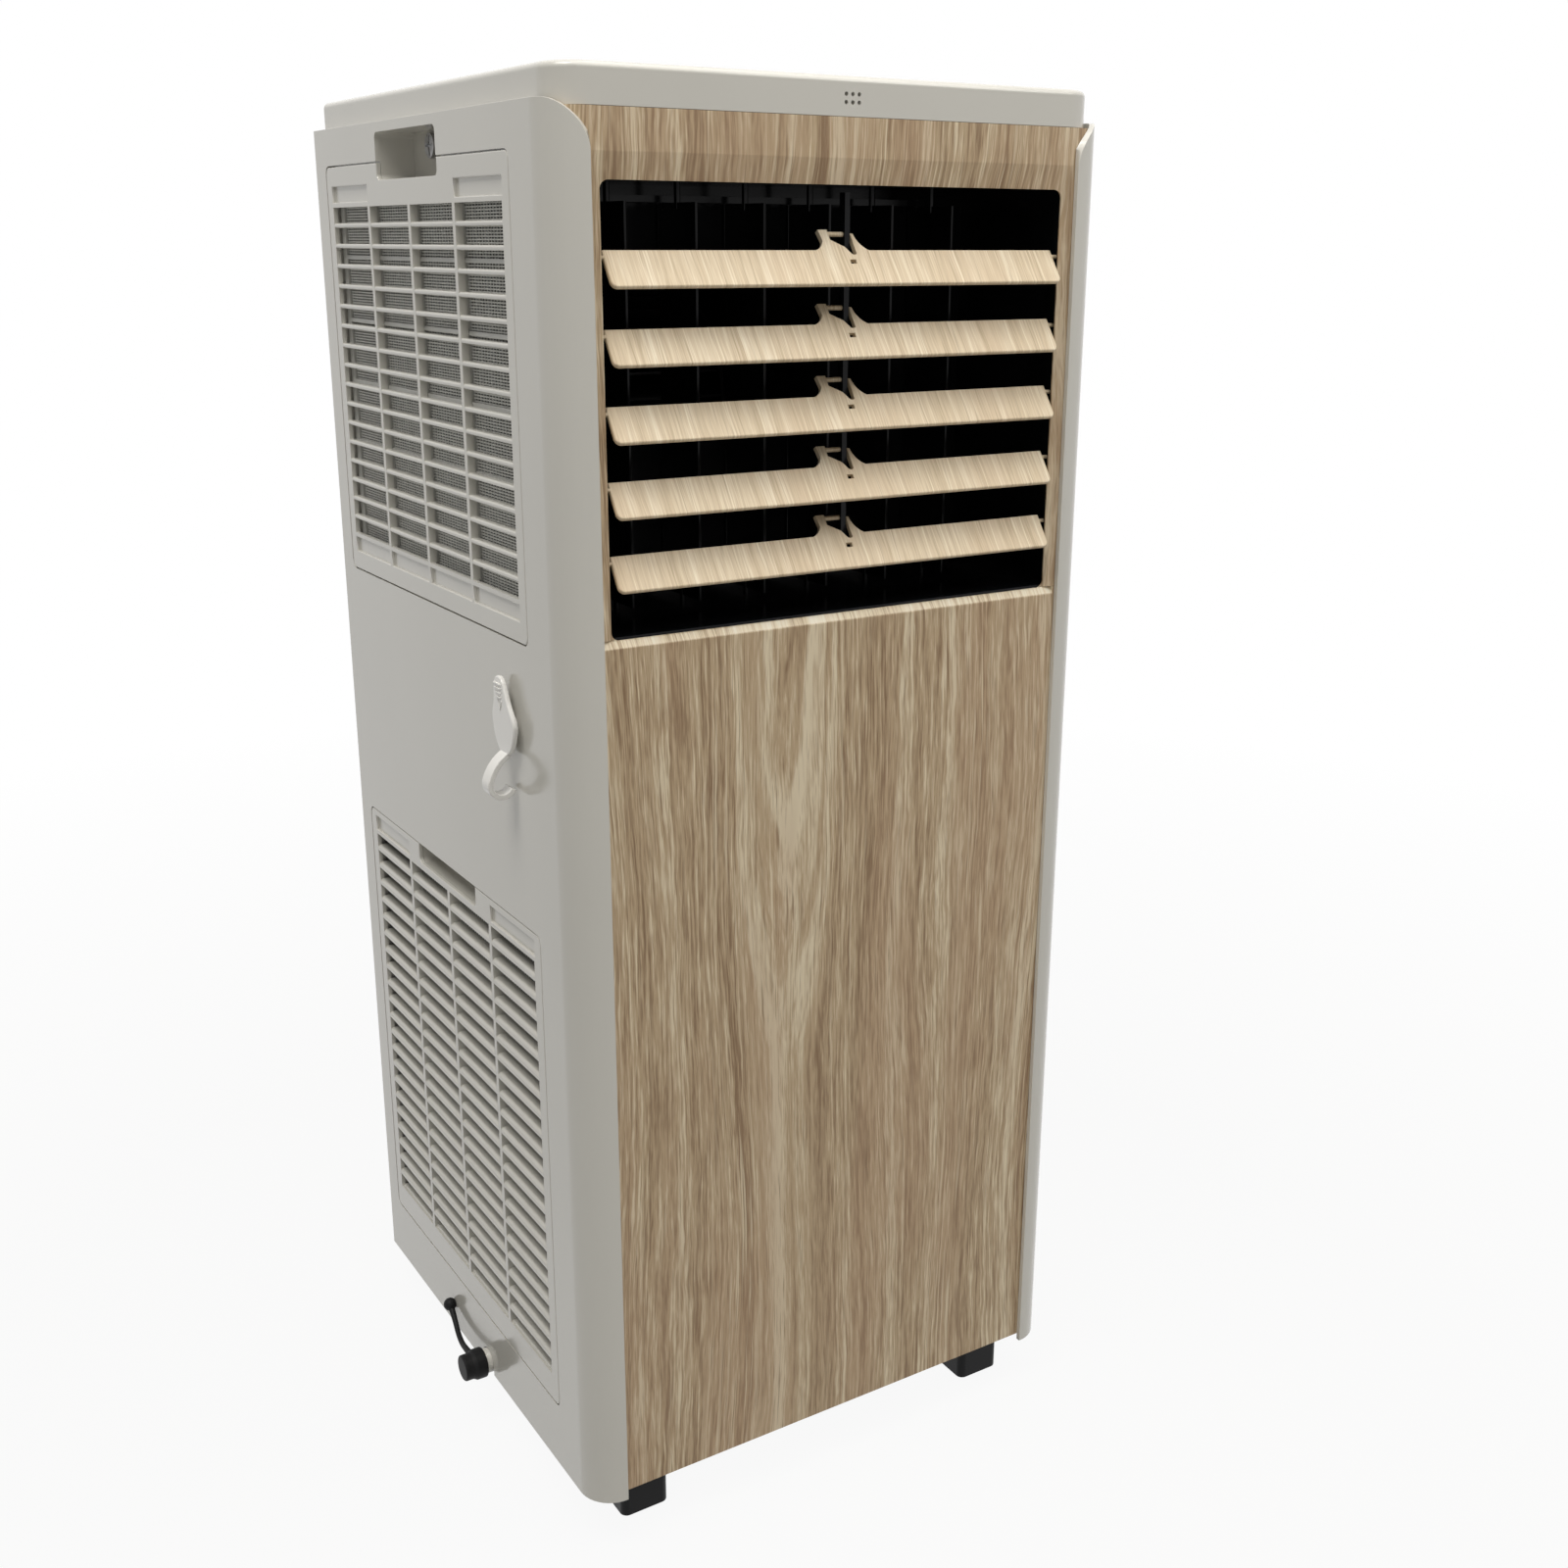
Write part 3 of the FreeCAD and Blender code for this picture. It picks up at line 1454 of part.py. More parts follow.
def drain_strap():
    """A rubber strap that hangs from its ball to the head of the plug."""
    strap_x = "left - strap_ball * 0.8"
    plug_x = "plug_face - plug_head_length * 0.3"
    start = spot(strap_x, "strap_anchor_y", "strap_anchor_height")
    end = spot(plug_x, "drain_y + plug_head_radius + seat_gap", "drain_height")
    middle = (start + end) * 0.5 - Vector(0, 0, value("strap_sag"))
    lead = end + Vector(0, value("plug_head_radius") * 0.5, 0)
    radius = value("strap_radius")
    cord = bent_tube([start, middle, lead, end], radius, radius * 3.0)
    knob = Part.makeSphere(value("strap_ball"), start)
    stud_start = spot("left - strap_ball", "strap_anchor_y", "strap_anchor_height")
    stud_length = value("strap_ball + skin")
    stud = Part.makeCylinder(value("strap_stud"), stud_length, stud_start, Vector(1, 0, 0))
    panel_face = Part.makeBox(
        value("body_width"),
        4 * value("strap_ball"),
        4 * value("strap_ball"),
        spot(
            "left - seat_gap",
            "strap_anchor_y - 2 * strap_ball",
            "strap_anchor_height - 2 * strap_ball",
        ),
    )
    item = doc.addObject("Part::Feature", "drain_strap")
    item.Shape = cord.fuse(knob).cut(panel_face).fuse(stud).removeSplitter()
    node("drain_strap", item)


def caster(word, x_hand, y_hand):
    """A swivelling fork with a hood, and a pair of wheels on one axle inside it."""
    x = f"{x_hand} * caster_x"
    y = f"{y_hand} * caster_y"
    axle_y = f"{y} - caster_trail"
    web_x = (f"{x} - fork_half_web", f"{x} + fork_half_web")
    cap_floor = "fork_top - fork_cap_height"
    web = box(
        f"fork_web_{word}",
        web_x,
        (f"{axle_y} - fork_hub / 2", f"{y} + fork_hub"),
        ("wheel_radius", f"{cap_floor} + seam"),
    )
    hood = soft_box(
        f"fork_hood_{word}",
        (f"{x} - hood_half_width", f"{x} + hood_half_width"),
        (f"{axle_y} - hood_reach", f"{axle_y} + hood_reach"),
        ("hood_floor", f"{cap_floor} + seam"),
        "z",
        "hood_corner",
    )
    room = soft_box(
        f"fork_room_{word}",
        (f"{x} - hood_half_width + hood_wall", f"{x} + hood_half_width - hood_wall"),
        (f"{axle_y} - hood_reach + hood_wall", f"{axle_y} + hood_reach - hood_wall"),
        ("hood_floor - skin", f"{cap_floor} - hood_wall"),
        "z",
        "hood_corner - hood_wall",
    )
    shell = cut(f"fork_shell_{word}", hood, [room])
    hub = rod(f"fork_hub_{word}", "x", "fork_hub", web_x[0], web_x[1], (axle_y, "wheel_radius"))
    cap = rod(f"fork_cap_{word}", "z", "fork_cap_radius", cap_floor, "fork_top", (x, y))
    stem = rod(f"fork_stem_{word}", "z", "stem_radius", cap_floor, "fork_top + stem_length", (x, y))
    frame = fuse(f"fork_frame_{word}", [shell, web, hub, cap, stem])
    bore = rod(
        f"fork_bore_{word}",
        "x",
        "axle_radius + running_gap",
        f"{x} - fork_hub",
        f"{x} + fork_hub",
        (axle_y, "wheel_radius"),
    )
    node(f"caster_fork_{word}", cut(f"caster_fork_{word}", frame, [bore]))
    rim = "wheel_radius - wheel_round"
    shoulder = "wheel_half_width - wheel_round"
    right_half = [
        ("axle_radius", "wheel_gap"),
        ("wheel_radius - wheel_dish", "wheel_gap"),
        ("wheel_radius", "wheel_gap + wheel_dish"),
        ("wheel_radius", shoulder, "wheel_round", 1),
        (rim, "wheel_half_width"),
        (f"{rim} - wheel_dish", "wheel_half_width"),
        (f"{rim} - 2 * wheel_dish", "wheel_half_width - wheel_dish"),
        ("0", "wheel_half_width - wheel_dish"),
    ]
    left_half = [
        ("0", "-wheel_half_width + wheel_dish"),
        (f"{rim} - 2 * wheel_dish", "-wheel_half_width + wheel_dish"),
        (f"{rim} - wheel_dish", "-wheel_half_width"),
        (rim, "-wheel_half_width", "wheel_round", 1),
        ("wheel_radius", f"-({shoulder})"),
        ("wheel_radius", "-wheel_gap - wheel_dish"),
        ("wheel_radius - wheel_dish", "-wheel_gap"),
        ("axle_radius", "-wheel_gap"),
    ]
    wheels = aim(turned(f"caster_wheels_{word}", left_half + right_half), "x")
    node(f"caster_wheels_{word}", wheels, (x, axle_y, "wheel_radius"))


caster_places = [
    ("front_left", -1, -1),
    ("front_right", 1, -1),
    ("rear_left", -1, 1),
    ("rear_right", 1, 1),
]


def base_pan():
    wide = ("inner_left + fit_gap", "inner_right - fit_gap")
    deep = ("deck_front", "deck_back")
    floor = box("pan_plate", wide, deep, ("pan_floor", "pan_top"))
    ends = ("front + corner_radius", "deck_back")
    rims = [
        box("pan_rim_left", (wide[0], f"{wide[0]} + skin"), ends, ("pan_floor", "pan_top + pan_rim")),
        box("pan_rim_right", (f"{wide[1]} - skin", wide[1]), ends, ("pan_floor", "pan_top + pan_rim")),
        box(
            "pan_rim_back",
            wide,
            ("deck_back - skin", "deck_back"),
            ("pan_floor", "pan_top + pan_rim"),
        ),
    ]
    rails = [
        box(
            f"pan_rail_{word}",
            ("coil_face", "coil_back"),
            (low, f"{low} + 2 * coil_end_plate"),
            ("pan_floor", "condenser_floor - fit_gap"),
        )
        for word, low in (("front", "coil_front_y"), ("back", "coil_back_y - 2 * coil_end_plate"))
    ]
    bosses = []
    holes = []
    for word, x_hand, y_hand in caster_places:
        centre = (f"{x_hand} * caster_x", f"{y_hand} * caster_y")
        low = "fork_top + seat_gap"
        high = "fork_top + stem_length + seat_gap"
        bosses.append(rod(f"pan_boss_{word}", "z", "stem_radius + boss_wall", low, high, centre))
        reach = (f"{low} - skin", f"{high} + skin")
        holes.append(rod(f"pan_hole_{word}", "z", "stem_radius + running_gap", *reach, centre))
    outlet = rod(
        "pan_outlet",
        "z",
        "drain_bore",
        "pan_floor - skin",
        "pan_top + skin",
        ("drain_turn", "drain_y"),
    )
    corner_cuts = []
    for word, hand in (("left", -1), ("right", 1)):
        block = box(
            f"pan_corner_{word}",
            mirrored(hand, "right - corner_radius", "right"),
            ("front", "front + corner_radius"),
            ("pan_floor - skin", "pan_top + skin"),
        )
        inset = "nest + wood_thickness + fit_gap"
        keep = corner_sector(
            f"pan_corner_keep_{word}",
            hand,
            f"corner_radius - ({inset})",
            "90",
            ("pan_floor - 2 * skin", "pan_top + 2 * skin"),
        )
        corner_cuts.append(cut(f"pan_corner_cut_{word}", block, [keep]))
    solid = fuse("pan_solid", [floor] + rims + rails + bosses)
    node("base_pan", cut("base_pan", solid, holes + [outlet] + corner_cuts))


def middle_deck():
    inset = "nest + wood_thickness + fit_gap"
    wide = ("inner_left + fit_gap", "inner_right - fit_gap")
    plate = box("deck_plate", wide, ("deck_front", "deck_back"), ("deck_height", "deck_top"))
    rim = box(
        "tray_outer",
        ("coil_face - 2 * skin", "coil_back + 2 * skin"),
        ("evaporator_front - 2 * skin", "coil_back_y + 2 * skin"),
        ("deck_height", "deck_top + tray_rim"),
    )
    hollow = box(
        "tray_inner",
        ("coil_face - skin", "coil_back + skin"),
        ("evaporator_front - skin", "coil_back_y + skin"),
        ("deck_top", "deck_top + 2 * tray_rim"),
    )
    corner_cuts = []
    for word, hand in (("left", -1), ("right", 1)):
        block = box(
            f"deck_corner_{word}",
            mirrored(hand, "right - corner_radius", "right"),
            ("front", "front + corner_radius"),
            ("deck_height - skin", "deck_top + skin"),
        )
        keep = corner_sector(
            f"deck_corner_keep_{word}", hand, f"corner_radius - ({inset})", "90", (
                "deck_height - 2 * skin",
                "deck_top + 2 * skin",
            )
        )
        corner_cuts.append(cut(f"deck_corner_cut_{word}", block, [keep]))
    pipe_hole = "pipe_radius + seam"
    suction = rod(
        "deck_suction_hole",
        "z",
        pipe_hole,
        "deck_height - skin",
        "deck_top + skin",
        pipe_x("suction"),
    )
    liquid = rod(
        "deck_liquid_hole",
        "z",
        pipe_hole,
        "deck_height - skin",
        "deck_top + skin",
        pipe_x("liquid"),
    )
    solid = fuse("deck_solid", [plate, rim])
    node("middle_deck", cut("middle_deck", solid, [hollow, suction, liquid] + corner_cuts))


def pipe_x(name):
    """Where a pipe meets the coils, in plan."""
    middle = "coil_face + coil_thickness / 2"
    return {
        "discharge": (middle, "compressor_y"),
        "suction": (middle, "accumulator_y"),
        "liquid": (middle, "coil_back_y - 4 * pipe_bend"),
    }[name]


def back_panel():
    wide = ("inner_left + fit_gap", "inner_right - fit_gap")
    plate = box(
        "back_plate",
        wide,
        ("back_front", "back - seam"),
        ("floor_gap", "panel_top - cover_tuck - seam"),
    )
    reach = ("back_front - skin", "back + skin")
    exhaust = rod(
        "back_exhaust",
        "y",
        "exhaust_bore + exhaust_wall + seat_gap",
        reach[0],
        reach[1],
        ("exhaust_x", "exhaust_height"),
    )
    gland = rod(
        "back_gland",
        "y",
        "gland_bore + gland_wall + seat_gap",
        reach[0],
        reach[1],
        ("gland_x", "gland_height"),
    )
    node("back_panel", cut("back_panel", plate, [exhaust, gland]))


def ring(label, bore, wall, flange, flange_thickness, length, x, z):
    """A flanged sleeve that passes through the back panel."""
    sleeve = turned(
        label,
        [
            (bore, f"-({length})"),
            (f"{bore} + {wall}", f"-({length})"),
            (f"{bore} + {wall}", "seat_gap"),
            (f"{bore} + {wall} + {flange}", "seat_gap"),
            (f"{bore} + {wall} + {flange}", f"{flange_thickness} - seam"),
            (f"{bore} + {wall} + {flange} - seam", flange_thickness),
            (f"{bore} + seam", flange_thickness),
            (bore, f"{flange_thickness} - seam"),
        ],
    )
    node(label, aim(sleeve, "y"), (x, "back - seam", z))


def cross_screw(name, axis, radius, height, out, face, centre):
    """A flat-topped screw head with a cross slot, standing on a face."""
    top = f"{face} + {out} * {height}"
    low, high = (face, top) if out > 0 else (top, face)
    head = rod(name + "_head", axis, radius, low, high, centre)
    sides = []
    for word, first, second in (("across", 0.7, 0.0), ("upright", 0.0, 0.7)):
        spans = []
        for middle, share in zip(centre, (first, second)):
            half = f"{radius} * {share} + screw_slot / 2"
            spans.append((f"{middle} - ({half})", f"{middle} + ({half})"))
        depth = (f"{top} - screw_slot", f"{top} + screw_slot")
        spans.insert("xyz".index(axis), depth)
        sides.append(box(f"{name}_slot_{word}", *spans))
    return cut(name, head, sides)


def cover_screws():
    screws = []
    rows = int(sizes["screw_rows"])
    for word, hand in (("left", -1), ("right", 1)):
        for row in range(rows):
            x = f"{hand} * (inner_right - screw_inset)"
            share = f"({row} + 0.5) / screw_rows"
            z = f"floor_gap + (panel_height - cover_tuck) * {share}"
            name = f"back_screw_{word}_{row + 1}"
            size = ("screw_head_radius", "screw_head_height")
            screws.append(cross_screw(name, "y", *size, 1, "back - seam", (x, z)))
    node("cover_screws", group("cover_screws", screws))
    z = "upper_recess_floor + upper_recess_height - recess_screw_drop"
    face = "left + upper_recess_depth"
    tip = cross_screw(
        "recess_screw",
        "x",
        "recess_screw_radius",
        "screw_head_height",
        -1,
        face,
        ("recess_screw_y", z),
    )
    node("recess_screw", tip)


def coil(label, start, floor, top):
    """A finned block between two end plates."""
    core = box(
        label + "_core",
        ("coil_face + coil_end_plate", "coil_back - coil_end_plate"),
        (f"{start} + 2 * coil_end_plate", "coil_back_y - 2 * coil_end_plate"),
        (floor, top),
    )
    plates = [
        box(
            f"{label}_plate_front",
            ("coil_face", "coil_back"),
            (start, f"{start} + coil_end_plate"),
            (floor, top),
        ),
        box(
            f"{label}_plate_back",
            ("coil_face", "coil_back"),
            ("coil_back_y - coil_end_plate", "coil_back_y"),
            (floor, top),
        ),
    ]
    tubes = []
    for row in range(6):
        level = f"{floor} + ({row} + 0.5) * ({top} - {floor}) / 6"
        centre = ("coil_face + coil_thickness / 2", level)
        tubes.append(rod(f"{label}_tube_{row + 1}", "y", "pipe_radius", start, "coil_back_y", centre))
    node(label, fuse(label, [core] + plates + tubes))


def fan_wheel(label, radius, width, x, y, z):
    """A drum of blades between a back plate and a rim, on a bored hub."""
    body = doc.addObject("PartDesign::Body", label)
    plate = sketch_on(body, "XY_Plane", label + "_plate")
    circle(plate, radius)
    pad(body, plate, label + "_back", "wheel_plate")
    hub = sketch_on(body, "XY_Plane", label + "_hub")
    circle(hub, "wheel_hub")
    pad(body, hub, label + "_hub_pad", f"{width} / 2")
    blade = sketch_on(body, "XY_Plane", label + "_blade")
    outline(
        blade,
        [
            (f"{radius} - wheel_blade_depth", "-wheel_blade / 2"),
            (f"{radius} - wheel_blade", "-wheel_blade / 2"),
            (f"{radius} - wheel_blade", "wheel_blade / 2"),
            (f"{radius} - wheel_blade_depth", "wheel_blade / 2"),
        ],
    )
    one = pad(body, blade, label + "_blade_pad", width)
    rim = sketch_on(body, "XY_Plane", label + "_rim", f"{width} - wheel_plate")
    circle(rim, radius)
    circle(rim, f"{radius} - wheel_blade_depth / 2")
    doc.recompute()
    spread = body.newObject("PartDesign::PolarPattern", label + "_blades")
    spread.Originals = [one]
    spread.Axis = (plate, ["N_Axis"])
    spread.Angle = 360.0
    bind(spread, "Occurrences", "wheel_blades")
    body.Tip = spread
    doc.recompute()
    pad(body, rim, label + "_rim_pad", "wheel_plate")
    bore = sketch_on(body, "XY_Plane", label + "_bore")
    circle(bore, "shaft_radius + running_gap")
    pocket(body, bore, label + "_bore_cut", f"2 * {width}", both=True)
    body.Placement = Placement(Vector(), Rotation(Vector(0, 1, 0), -90))
    node(label, body, (x, y, z))


def motor(label, x, y, z, shaft):
    """A motor can with a mounting flange and a shaft towards the wheel."""
    can = turned(
        label,
        [
            ("0", f"-({shaft})"),
            ("shaft_radius", f"-({shaft})"),
            ("shaft_radius", "0"),
            ("motor_radius + 2 * skin", "0"),
            ("motor_radius + 2 * skin", "skin"),
            ("motor_radius", "skin"),
            ("motor_radius", "motor_length - 3 * skin"),
            ("motor_radius - 3 * skin", "motor_length"),
            ("0", "motor_length"),
        ],
    )
    node(label, aim(can, "x"), (x, y, z))


def blower():
    """The cold-air scroll: a drum with a throat to the outlet duct, on a foot."""
    x = ("blower_left", "blower_right")
    inner_x = ("blower_left + scroll_wall", "blower_right - scroll_wall")
    centre = ("blower_y", "blower_height")
    drum = rod("blower_drum", "x", "blower_radius + scroll_wall", x[0], x[1], centre)
    throat = box(
        "blower_throat", x, ("duct_back + seat_gap", "blower_y"), (
            "blower_height",
            "blower_height + throat_height + scroll_wall",
        )
    )
    foot = box(
        "blower_foot",
        x,
        ("blower_y - blower_radius / 3", "blower_y + blower_radius / 3"),
        ("tray_floor", "blower_height - blower_radius"),
    )
    solid = fuse("blower_solid", [drum, throat, foot])
    drum_space = rod("blower_drum_space", "x", "blower_radius", inner_x[0], inner_x[1], centre)
    throat_space = box(
        "blower_throat_space",
        inner_x,
        ("duct_back - skin", "blower_y"),
        ("blower_height + scroll_wall", "blower_height + throat_height"),
    )
    inlet = rod(
        "blower_inlet",
        "x",
        "blower_wheel_radius - wheel_blade_depth / 2",
        "blower_left - skin",
        inner_x[0],
        centre,
    )
    shaft_hole = rod(
        "blower_shaft_hole",
        "x",
        "shaft_radius + seam",
        inner_x[1],
        "blower_right + skin",
        centre,
    )
    node("blower_scroll", cut("blower_scroll", solid, [drum_space, throat_space, inlet, shaft_hole]))
    wheel_x = "blower_left + scroll_wall + wheel_inlet_gap + blower_wheel_width"
    fan_wheel("blower_wheel", "blower_wheel_radius", "blower_wheel_width", wheel_x, *centre)
    motor("blower_motor", "blower_right + seat_gap", *centre, "blower_wheel_width * 0.8")


def condenser_fan():
    """The warm-air scroll: a drum that opens into a box behind the exhaust socket."""
    x = ("fan_left", "fan_right")
    inner_x = ("fan_left + scroll_wall", "fan_right - scroll_wall")
    centre = ("fan_y", "fan_height")
    drum = rod("fan_drum", "x", "fan_radius + scroll_wall", x[0], x[1], centre)
    plenum_x = ("exhaust_x - plenum_half", "exhaust_x + plenum_half")
    plenum_z = ("exhaust_height - plenum_half", "exhaust_height + plenum_half")
    plenum = box("plenum_outer", plenum_x, ("plenum_front", "deck_back"), plenum_z)
    foot = box(
        "fan_foot",
        x,
        ("fan_y - fan_radius / 3", "fan_y + fan_radius / 3"),
        ("pan_top + fit_gap", "fan_height - fan_radius"),
    )
    solid = fuse("fan_solid", [drum, plenum, foot])
    drum_space = rod("fan_drum_space", "x", "fan_radius", inner_x[0], inner_x[1], centre)
    plenum_space = box(
        "plenum_space",
        (f"{plenum_x[0]} + scroll_wall", f"{plenum_x[1]} - scroll_wall"),
        ("plenum_front + scroll_wall", "back"),
        (f"{plenum_z[0]} + scroll_wall", f"{plenum_z[1]} - scroll_wall"),
    )
    passage = box(
        "fan_passage",
        inner_x,
        ("fan_y", "plenum_front + 2 * scroll_wall"),
        ("exhaust_height - plenum_half + scroll_wall", "fan_height + fan_radius * 0.6"),
    )
    inlet = rod(
        "fan_inlet",
        "x",
        "fan_wheel_radius - wheel_blade_depth / 2",
        "fan_left - skin",
        inner_x[0],
        centre,
    )
    shaft_hole = rod(
        "fan_shaft_hole",
        "x",
        "shaft_radius + seam",
        inner_x[1],
        "fan_right + skin",
        centre,
    )
    node(
        "condenser_fan_scroll",
        cut("fan_scroll", solid, [drum_space, plenum_space, passage, inlet, shaft_hole]),
    )
    wheel_x = "fan_left + scroll_wall + wheel_inlet_gap + fan_wheel_width"
    fan_wheel("condenser_fan_wheel", "fan_wheel_radius", "fan_wheel_width", wheel_x, *centre)
    motor("condenser_fan_motor", "fan_right + seat_gap", *centre, "fan_wheel_width * 0.8")


def compressor():
    can = turned(
        "compressor_can",
        [
            ("0", "0"),
            ("compressor_foot", "0"),
            ("compressor_foot", "foot_thickness"),
            ("compressor_radius", "foot_thickness"),
            ("compressor_radius", "compressor_height - compressor_dome"),
            ("compressor_radius - compressor_dome", "compressor_height"),
            ("0", "compressor_height"),
        ],
    )
    put(can, ("compressor_x", "compressor_y", "compressor_floor"))
    tank = turned(
        "accumulator_tank",
        [
            ("0", "0"),
            ("accumulator_radius / 2", "0"),
            ("accumulator_radius", "accumulator_radius / 2"),
            ("accumulator_radius", "accumulator_height - accumulator_radius / 2"),
            ("accumulator_radius / 2", "accumulator_height"),
            ("0", "accumulator_height"),
        ],
    )
    put(tank, ("accumulator_x", "accumulator_y", "accumulator_floor"))
    clamp = box(
        "accumulator_clamp",
        ("compressor_x", "accumulator_x"),
        ("compressor_y", "accumulator_y"),
        ("accumulator_floor + accumulator_radius", "accumulator_floor + 2 * accumulator_radius"),
    )
    node("compressor", fuse("compressor", [can, tank, clamp]))
    grommets = []
    for index in range(3):
        angle = f"{index} * 120"
        centre = (
            f"compressor_x + grommet_circle * cos({angle})",
            f"compressor_y + grommet_circle * sin({angle})",
        )
        low = "pan_top + fit_gap"
        high = f"{low} + grommet_height"
        grommets.append(rod(f"grommet_{index + 1}", "z", "grommet_radius", low, high, centre))
    node("compressor_grommets", group("compressor_grommets", grommets))


def refrigerant_pipes():
    """Tubes from the compressor to the condenser, between the coils and back to the tank."""
    radius = value("pipe_radius")
    bend = value("pipe_bend")
    x_out, y_out = pipe_x("discharge")
    x_back, y_back = pipe_x("suction")
    x_line, y_line = pipe_x("liquid")
    discharge = [
        spot("compressor_x", "compressor_y", "compressor_top + seat_gap"),
        spot("compressor_x", "compressor_y", "pipe_level"),
        spot(x_out, y_out, "pipe_level"),
        spot(x_out, y_out, "condenser_top + seat_gap"),
    ]
    suction = [
        spot("accumulator_x", "accumulator_y", "accumulator_top + seat_gap"),
        spot("accumulator_x", "accumulator_y", "suction_level"),
        spot(x_back, y_back, "suction_level"),
        spot(x_back, y_back, "tray_floor - seat_gap"),
    ]
    low = spot(x_line, y_line, "condenser_top + seat_gap")
    high = spot(x_line, y_line, "tray_floor - seat_gap")
    line = Part.makeCylinder(radius, high.z - low.z, low, Vector(0, 0, 1))
    drier_floor = low + Vector(0, 0, 2 * bend)
    drier = Part.makeCylinder(2 * radius, 3 * bend, drier_floor, Vector(0, 0, 1))
    item = doc.addObject("Part::Feature", "refrigerant_pipes")
    tubes = [bent_tube(discharge, radius, bend), bent_tube(suction, radius, bend), line.fuse(drier)]
    item.Shape = Part.makeCompound(tubes)
    node("refrigerant_pipes", item)


base_pan()
middle_deck()
left_side_panel()
right_side_panel()
back_panel()
front_panel()
top_cover()
control_panel()
outlet_duct()
for number in range(int(sizes["louvre_count"])):
    louvre(number)
louvre_link_rod()
for number in range(int(sizes["vane_count"])):
    vane(number)
vane_tie_bar()
columns = range(int(sizes["column_count"]))
outer_columns = (0, int(sizes["column_count"]) - 1)
upper_blanks = [("foot", column) for column in columns] + [("head", column) for column in outer_columns]
lower_blanks = [("head", column) for column in outer_columns]
grille_cover("upper", upper_blanks)
filter_screen()
grille_cover("lower", lower_blanks)
hose_hook()
drain()
drain_strap()
for caster_place in caster_places:
    caster(*caster_place)
ring(
    "exhaust_socket",
    "exhaust_bore",
    "exhaust_wall",
    "exhaust_flange",
    "exhaust_flange_thickness",
    "exhaust_length",
    "exhaust_x",
    "exhaust_height",
)
ring(
    "cord_gland",
    "gland_bore",
    "gland_wall",
    "gland_flange",
    "skin",
    "gland_length",
    "gland_x",
    "gland_height",
)
cover_screws()
coil("evaporator_coil", "evaporator_front", "tray_floor", "evaporator_top")
blower()
coil("condenser_coil", "coil_front_y", "condenser_floor", "condenser_top")
condenser_fan()
compressor()
refrigerant_pipes()
doc.recompute()

faults = [item.Label for item in doc.Objects if {"Invalid", "Error"} & set(item.State)]
for item in nodes:
    if item.Shape.isNull() or not item.Shape.isValid():
        faults.append(item.Label)
if faults:
    raise RuntimeError("not built: " + ", ".join(faults))

os.makedirs("parts", exist_ok=True)
for item in nodes:
    item.Shape.exportStep(f"parts/{item.Label}.step")
    print(item.Label, len(item.Shape.Solids), round(item.Shape.Volume))
print(len(nodes), "nodes")
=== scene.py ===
import json
import math
import bmesh
import bpy
from mathutils import Matrix, Vector


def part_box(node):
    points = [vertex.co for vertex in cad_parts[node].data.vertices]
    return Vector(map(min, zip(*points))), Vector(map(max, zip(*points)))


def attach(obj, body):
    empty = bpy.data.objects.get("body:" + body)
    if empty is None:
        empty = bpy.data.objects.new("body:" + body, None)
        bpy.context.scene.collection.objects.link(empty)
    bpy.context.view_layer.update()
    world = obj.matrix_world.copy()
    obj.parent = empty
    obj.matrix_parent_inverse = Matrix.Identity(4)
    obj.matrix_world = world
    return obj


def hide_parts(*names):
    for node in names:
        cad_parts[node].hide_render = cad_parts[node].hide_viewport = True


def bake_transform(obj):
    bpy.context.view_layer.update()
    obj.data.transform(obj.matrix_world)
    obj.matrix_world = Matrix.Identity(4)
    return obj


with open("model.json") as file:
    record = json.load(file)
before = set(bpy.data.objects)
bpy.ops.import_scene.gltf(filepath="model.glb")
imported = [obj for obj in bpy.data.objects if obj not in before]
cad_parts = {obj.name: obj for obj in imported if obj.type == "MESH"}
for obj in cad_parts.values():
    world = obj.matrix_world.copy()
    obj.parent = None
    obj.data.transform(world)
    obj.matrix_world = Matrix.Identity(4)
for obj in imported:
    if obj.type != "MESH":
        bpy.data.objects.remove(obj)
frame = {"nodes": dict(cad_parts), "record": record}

scene = bpy.context.scene
scene.view_settings.view_transform = "Standard"
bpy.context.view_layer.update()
nodeObjects = frame["nodes"]
record = frame["record"]
slotOf = {entry["node"]: entry["material_slot"] for entry in record["subparts"]}
bodyOf = {
    node: body
    for body, members in record["behaviour"]["bodies"].items()
    for node in members
}
mm = 0.001
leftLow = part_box("left_side_panel")[0]
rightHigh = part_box("right_side_panel")[1]
shiftX = (leftLow.x + rightHigh.x) / 2  # middle of the cabinet
print("frame loaded,", len(nodeObjects), "nodes")


# camera, matched to the photograph's edges
cameraFacts = {
    "place": (shiftX - 0.4549, -0.8182, 0.6450),
    "right": (0.8485, -0.5292, 0.0032),
    "up": (0.1553, 0.2547, 0.9544),
    "lens": 39.854,
    "sensor": 36.0,
    "nearest": 0.01,
}


def makeCamera(facts):
    data = bpy.data.cameras.new("photoCamera")
    data.sensor_width = facts["sensor"]
    data.lens = facts["lens"]
    data.clip_start = facts["nearest"]
    right = Vector(facts["right"]).normalized()
    up = Vector(facts["up"])
    up = (up - right * up.dot(right)).normalized()
    back = right.cross(up)
    turn = Matrix((right, up, back)).transposed().to_4x4()
    camera = bpy.data.objects.new("photoCamera", data)
    camera.matrix_world = Matrix.Translation(Vector(facts["place"])) @ turn
    scene.collection.objects.link(camera)
    scene.camera = camera


